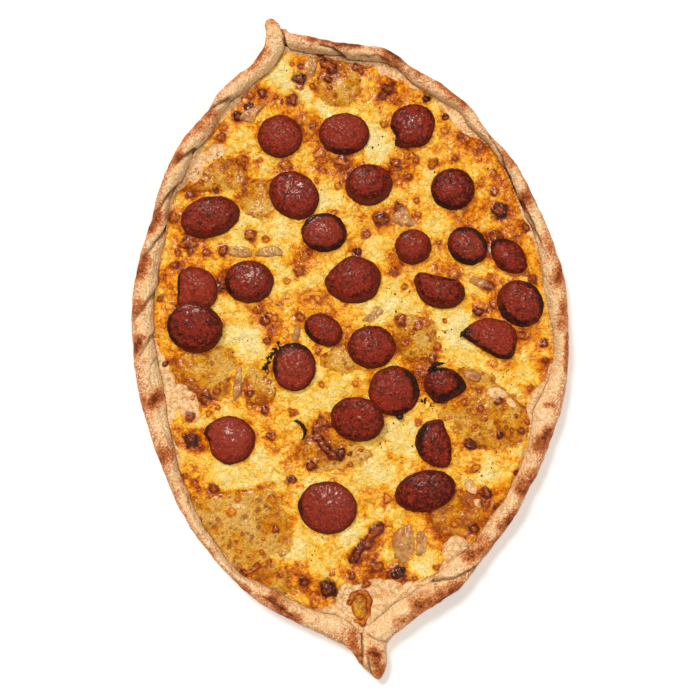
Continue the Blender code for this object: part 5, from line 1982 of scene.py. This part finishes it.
    def sheen(self, plan: np.ndarray) -> np.ndarray:
        """Return how oily the slice is: a bell-shaped pool up from its middle, little elsewhere.

        Args:
            plan: points in plan about the centre.

        Returns:
            The oil at each point, 0 to 1.
        """
        shape = self.entry[2]
        radius = np.linalg.norm(shape if isinstance(shape[0], tuple) else shape[:2], axis=-1).mean()
        pool = np.array([0.18 * math.sin(self.number * 2.1), 0.28]) * radius
        away = np.linalg.norm(plan - pool, axis=-1) / (0.42 * radius)
        return 0.035 + (0.42 if self.number in SHINY else 0.13) * bell(away)

    def swirl(self, plan: np.ndarray) -> np.ndarray:
        """Return the grain of the cut: noise drawn out round the middle of the slice.

        Args:
            plan: points in plan about the centre.

        Returns:
            The grain at each point.
        """
        radius = np.linalg.norm(plan, axis=-1)
        angle = np.arctan2(plan[..., 1], plan[..., 0])
        reach = 1.0 + radius * 0.16
        level = radius / 1.5 + self.number * 9.0
        bent = np.stack([reach * np.cos(angle), reach * np.sin(angle), level], axis=-1)
        return noise(bent, 1.0, 8.0) * (1.0 if self.number in SWIRLED else 0.45)

    def lift(self, plan: np.ndarray, height: np.ndarray | float) -> np.ndarray:
        """Return points of the slice at a height over its leaning underside."""
        return np.column_stack([plan + self.centre, self.underside(plan) + height])


@dataclass
class PotatoSlice(Topping):
    """One thin potato slice that the cheese has run over at its edge."""

    around: int = 128
    food: str = "potato"
    form: str = "slice"
    kind: Kind = Kind.POTATO
    steps: int = 44

    def build(self, finish: bpy.types.Material, browning: Browning) -> bpy.types.Object:
        """Build the slice: rings from its underside, round its edge and over its domed top.

        Args:
            finish: the material the piece wears.
            browning: how the top around it has browned.

        Returns:
            The slice's object.
        """
        low, high = self.heights()
        outline = self.outline()
        foot = ((0.5, low), (0.97, low), (1.0, low + 0.5), (1.0, high - 0.7))
        rings = [flat_ring(outline * share, height) for share, height in foot]
        dome = 0.015 * np.linalg.norm(outline, axis=1).mean()
        for share in np.linspace(0.99, 0.02, self.steps):
            height = high + dome * (1.0 - share**2) - 0.5 * ease(np.array(share), 0.85, 1.0)
            rings.append(flat_ring(outline * share, float(height)))
        stack = np.stack(rings) + np.append(self.centre, 0.0)
        fields, raised = browning.fields(stack * np.array([1.0, 1.0, 0.0]))
        upper = ease(stack[..., 2], high - 0.6, high - 0.2)
        relief = 0.22 * fractal(stack, 7.0, 3, 3.0) + 0.16 * noise(stack, 1.7, 5.0)
        stack[..., 2] += (relief + raised) * upper
        surface = Surface.from_rings(stack, np.append(self.centre, low), stack[-1].mean(axis=0))
        fields["film"] = np.minimum(fields["film"] + 0.25, 1.0)
        surface.fields = {
            name: np.concatenate([[values[0, 0]], values.ravel(), [values[-1, 0]]])
            for name, values in fields.items()
        }
        return self.lay(surface, finish)


@dataclass
class OnionStrip(Topping):
    """One cooked onion strip: a thin, curled, wet layer lying on the cheese."""

    around: int = 90
    food: str = "onion"
    form: str = "strip"
    kind: Kind = Kind.ONION
    steps: int = 20

    def build(self, finish: bpy.types.Material, browning: Browning) -> bpy.types.Object:
        """Build the strip: rings from its underside round its thin edge to its ribbed top.

        Args:
            finish: the material the piece wears.
            browning: how the top around it has browned.

        Returns:
            The strip's object.
        """
        low, high = self.heights()
        outline = self.outline()
        uneven = fractal(flat_ring(outline, self.number * 4.0), 3.0, 2, 2.0)
        outline = outline * (1.08 + 0.16 * uneven)[:, None]
        rings, edges = [], []
        for share, height in ((0.5, low - 1.0), (0.95, low - 1.0), (1.0, low - 0.4)):
            rings.append(flat_ring(outline * share, height))
            edges.append(np.ones(self.around))
        for share in np.linspace(0.97, 0.04, self.steps):
            rings.append(flat_ring(outline * share, high - 1.3 * share**5))
            edges.append(np.full(self.around, share))
        stack = np.stack(rings) + np.append(self.centre, 0.0)
        bent = stack + 1.2 * noise(stack, 5.0, 9.0)[..., None]
        ribs = np.sin(turned(bent[..., :2], self.number * 37.0)[..., 0] * 1.6)
        upper = ease(stack[..., 2], low - 0.5, high)
        stack[..., 2] += (0.05 * ribs + 0.45 * noise(stack, 4.0, 5.0) + 0.15 * noise(stack, 1.5, 6.0)) * upper
        surface = Surface.from_rings(stack, np.append(self.centre, low - 1.0), stack[-1].mean(axis=0))
        surface.fields, _ = browning.fields(surface.points)
        surface.fields["edge"] = np.concatenate([[1.0], np.concatenate(edges) ** 3, [0.0]])
        surface.fields["rib"] = np.concatenate([[0.0], ribs.ravel(), [ribs[-1, 0]]])
        return self.lay(surface, finish)


@dataclass
class Pebbles:
    """Loose bits of one kind lying on the filling, as one mesh: pepper, char or herbs."""

    name: str
    clusters: tuple
    smallest: float
    largest: float
    flatness: float
    seed: int

    def build(self, finish: bpy.types.Material, kind: Kind, filling: Filling) -> bpy.types.Object:
        """Build every bit as a small squashed ball with a ragged radius.

        The bits of a cluster lie round its centre with a normal spread; each is a ball of
        three rings of six points whose radius varies from point to point.

        Args:
            finish: the material the piece wears.
            kind: the kind of piece, handed on to place_piece.
            filling: the finished cheese, for the height the bits lie at.

        Returns:
            The object of all bits.
        """
        rng = np.random.default_rng(self.seed)
        groups = [rng.normal((x, y), spread, size=(count, 2)) for x, y, spread, count in self.clusters]
        places = np.vstack(groups)
        height = filling.height_at(places)
        size = rng.uniform(self.smallest, self.largest, len(places)) / 2
        turn = np.arange(6) * math.tau / 6
        tilt = np.radians([-45.0, 0.0, 45.0])
        ball = np.stack(
            [
                np.cos(tilt)[:, None] * np.cos(turn)[None],
                np.cos(tilt)[:, None] * np.sin(turn)[None],
                np.broadcast_to(np.sin(tilt)[:, None], (3, 6)),
            ],
            axis=-1,
        )
        parts = []
        for place, level, radius in zip(places, height, size):
            stretch = np.array([1.0, rng.uniform(0.5, 1.0), self.flatness]) * radius
            ragged = ball * rng.uniform(0.7, 1.15, (3, 6, 1)) * stretch
            ragged[..., :2] = turned(ragged[..., :2], rng.uniform(0.0, 360.0))
            centre = np.array([*place, level + radius * self.flatness * 0.4])
            pole = np.array([0.0, 0.0, radius * self.flatness])
            parts.append(Surface.from_rings(ragged + centre, centre - pole, centre + pole))
        return place_piece(Surface.joined(parts).make(self.name), finish, kind)


@dataclass
class CharredStrip:
    """A burnt curl or a charred edge: a ragged tube along a path."""

    name: str
    path: tuple
    width: float

    def build(self, finish: bpy.types.Material, kind: Kind) -> bpy.types.Object:
        """Build the tube: rings of twelve points square to the path, tapering to both ends.

        Args:
            finish: the material the piece wears.
            kind: the kind of piece, handed on to place_piece.

        Returns:
            The strip's object.
        """
        line = open_curve(self.path, 40)
        along = np.gradient(line, axis=0)
        along /= np.linalg.norm(along, axis=1, keepdims=True)
        side = np.cross(along, (0.0, 0.0, 1.0))
        side /= np.linalg.norm(side, axis=1, keepdims=True)
        over = np.cross(side, along)
        share = np.linspace(0.0, 1.0, len(line))
        radius = self.width / 2 * np.clip(np.sin(math.pi * np.clip(share, 0.04, 0.96)), 0.0, 1.0) ** 0.5
        turn = np.arange(12) * math.tau / 12
        rings = (
            line[:, None]
            + side[:, None] * (radius[:, None] * np.cos(turn)[None])[..., None]
            + over[:, None] * (radius[:, None] * np.sin(turn)[None])[..., None]
        )
        middle = line[:, None]
        rings = middle + (rings - middle) * (1.0 + 0.5 * noise(rings, 0.9, 3.0))[..., None]
        surface = Surface.from_rings(rings, line[0], line[-1])
        return place_piece(surface.make(self.name), finish, kind)


# --- scene ------------------------------------------------------------------------------
@dataclass
class Studio:
    """A pale floor, soft light and a camera straight over the bread."""

    width: float = 350.0
    lens: float = 70.0
    plane: float = 5.0
    surround: float = 0.22
    backdrop: float = 0.95

    def floor(self) -> None:
        """Lay the floor, a pale plane under the bread."""
        bpy.ops.mesh.primitive_plane_add(size=6.0, location=(0.0, 0.0, 0.0))
        floor = bpy.context.object
        floor.name = "floor"
        board = Board("pale_floor", Roughness=0.9, Specular_IOR_Level=0.1)
        tone = board.grain(60.0, 2.0)
        board.set(Base_Color=board.mix(tone, (0.93, 0.93, 0.93, 1.0), (0.96, 0.96, 0.96, 1.0)))
        floor.data.materials.append(board.material)

    def lamp(self, name: str, toward: tuple, spread: float, power: float, warmth: float = 0.0) -> None:
        """Add a lamp so far away that its light is even.

        Args:
            name: the lamp's name.
            toward: direction from the bread to the lamp.
            spread: how wide the lamp looks, in degrees.
            power: strength.
            warmth: how far its colour leans to amber, 0 to 1.
        """
        light = bpy.data.lights.new(name, "SUN")
        light.angle = math.radians(spread)
        light.energy = power
        light.color = (1.0, 1.0 - 0.35 * warmth, 1.0 - 0.80 * warmth)
        lamp = bpy.data.objects.new(name, light)
        x, y, z = toward
        lamp.location = toward
        tilt = math.acos(z / math.sqrt(x * x + y * y + z * z))
        lamp.rotation_euler = (tilt, 0.0, math.atan2(y, x) + math.pi / 2)
        bpy.context.scene.collection.objects.link(lamp)

    def light(self) -> None:
        """Light the bread softly from the upper left, with an even surround, pale to the eye."""
        world = bpy.data.worlds.new("surround")
        world.use_nodes = True
        tree = world.node_tree
        shader = tree.nodes["Background"]
        shader.inputs["Color"].default_value = (1.0, 1.0, 1.0, 1.0)
        strength = tree.nodes.new("ShaderNodeMath")
        strength.operation = "MULTIPLY_ADD"
        strength.inputs[1].default_value = self.backdrop - self.surround
        strength.inputs[2].default_value = self.surround
        tree.links.new(tree.nodes.new("ShaderNodeLightPath").outputs["Is Camera Ray"], strength.inputs[0])
        tree.links.new(strength.outputs["Value"], shader.inputs["Strength"])
        bpy.context.scene.world = world
        self.lamp("key", (-0.45, 0.75, 1.0), 16.0, 2.0)
        self.lamp("top", (-0.06, 0.17, 1.0), 10.0, 1.15, 0.3)
        self.lamp("fill", (0.6, -0.4, 1.1), 60.0, 0.7)

    def camera(self) -> None:
        """Look straight down, the given width filling the picture at the rim's height."""
        data = bpy.data.cameras.new("camera")
        data.lens = self.lens
        camera = bpy.data.objects.new("camera", data)
        half = data.sensor_width / 2 / self.lens
        camera.location = (0.0, 0.0, (self.plane + self.width / 2 / half) * METRES)
        data.clip_start = 0.01
        bpy.context.scene.collection.objects.link(camera)
        bpy.context.scene.camera = camera
        bpy.context.scene.view_settings.view_transform = "Standard"


def main() -> None:
    """Build the pide and its studio."""
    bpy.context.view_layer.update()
    studio = Studio()
    studio.camera()
    studio.light()
    studio.floor()
    crust = Crust()
    crust.build(CrustFinish().make())
    slices = [SausageSlice(number, entry) for number, entry in enumerate(SAUSAGE_SLICES, start=1)]
    potatoes = [PotatoSlice(number, entry) for number, entry in enumerate(POTATO_SLICES, start=1)]
    browning = Browning([each.seat() for each in potatoes], [each.seat() for each in slices])
    filling = Filling(crust, browning)
    filling.build(FillingFinish("browned_cheese").make())
    meat = SausageFinish().make()
    for each in slices:
        each.build(meat)
    tuber = FillingFinish("roast_potato").make()
    for each in potatoes:
        each.build(tuber, browning)
    bulb = OnionFinish().make()
    for number, entry in enumerate(ONION_STRIPS, start=1):
        OnionStrip(number, entry).build(bulb, browning)
    pepper = FleckFinish("black_pepper", display(20, 14, 10), display(58, 40, 26)).make()
    herb = FleckFinish("dried_herb", display(52, 44, 12), display(96, 78, 24)).make()
    soot = FleckFinish("burnt_edge", display(16, 10, 8), display(62, 34, 22), 0.4).make()
    Pebbles("pepper_specks", PEPPER_CLUSTERS, 0.45, 1.0, 0.6, 5).build(pepper, Kind.CHEESE, filling)
    Pebbles("herb_flecks", HERB_CLUSTERS, 0.7, 1.6, 0.25, 6).build(herb, Kind.CHEESE, filling)
    Pebbles("char_crumbs", CRUMB_CLUSTERS, 0.9, 2.3, 0.6, 8).build(soot, Kind.SAUSAGE, filling)
    for name, path, width in CHARRED_STRIPS:
        CharredStrip(name, path, width).build(soot, Kind.SAUSAGE)


if __name__ == "__main__":
    logging.basicConfig(level=logging.INFO)
    main()
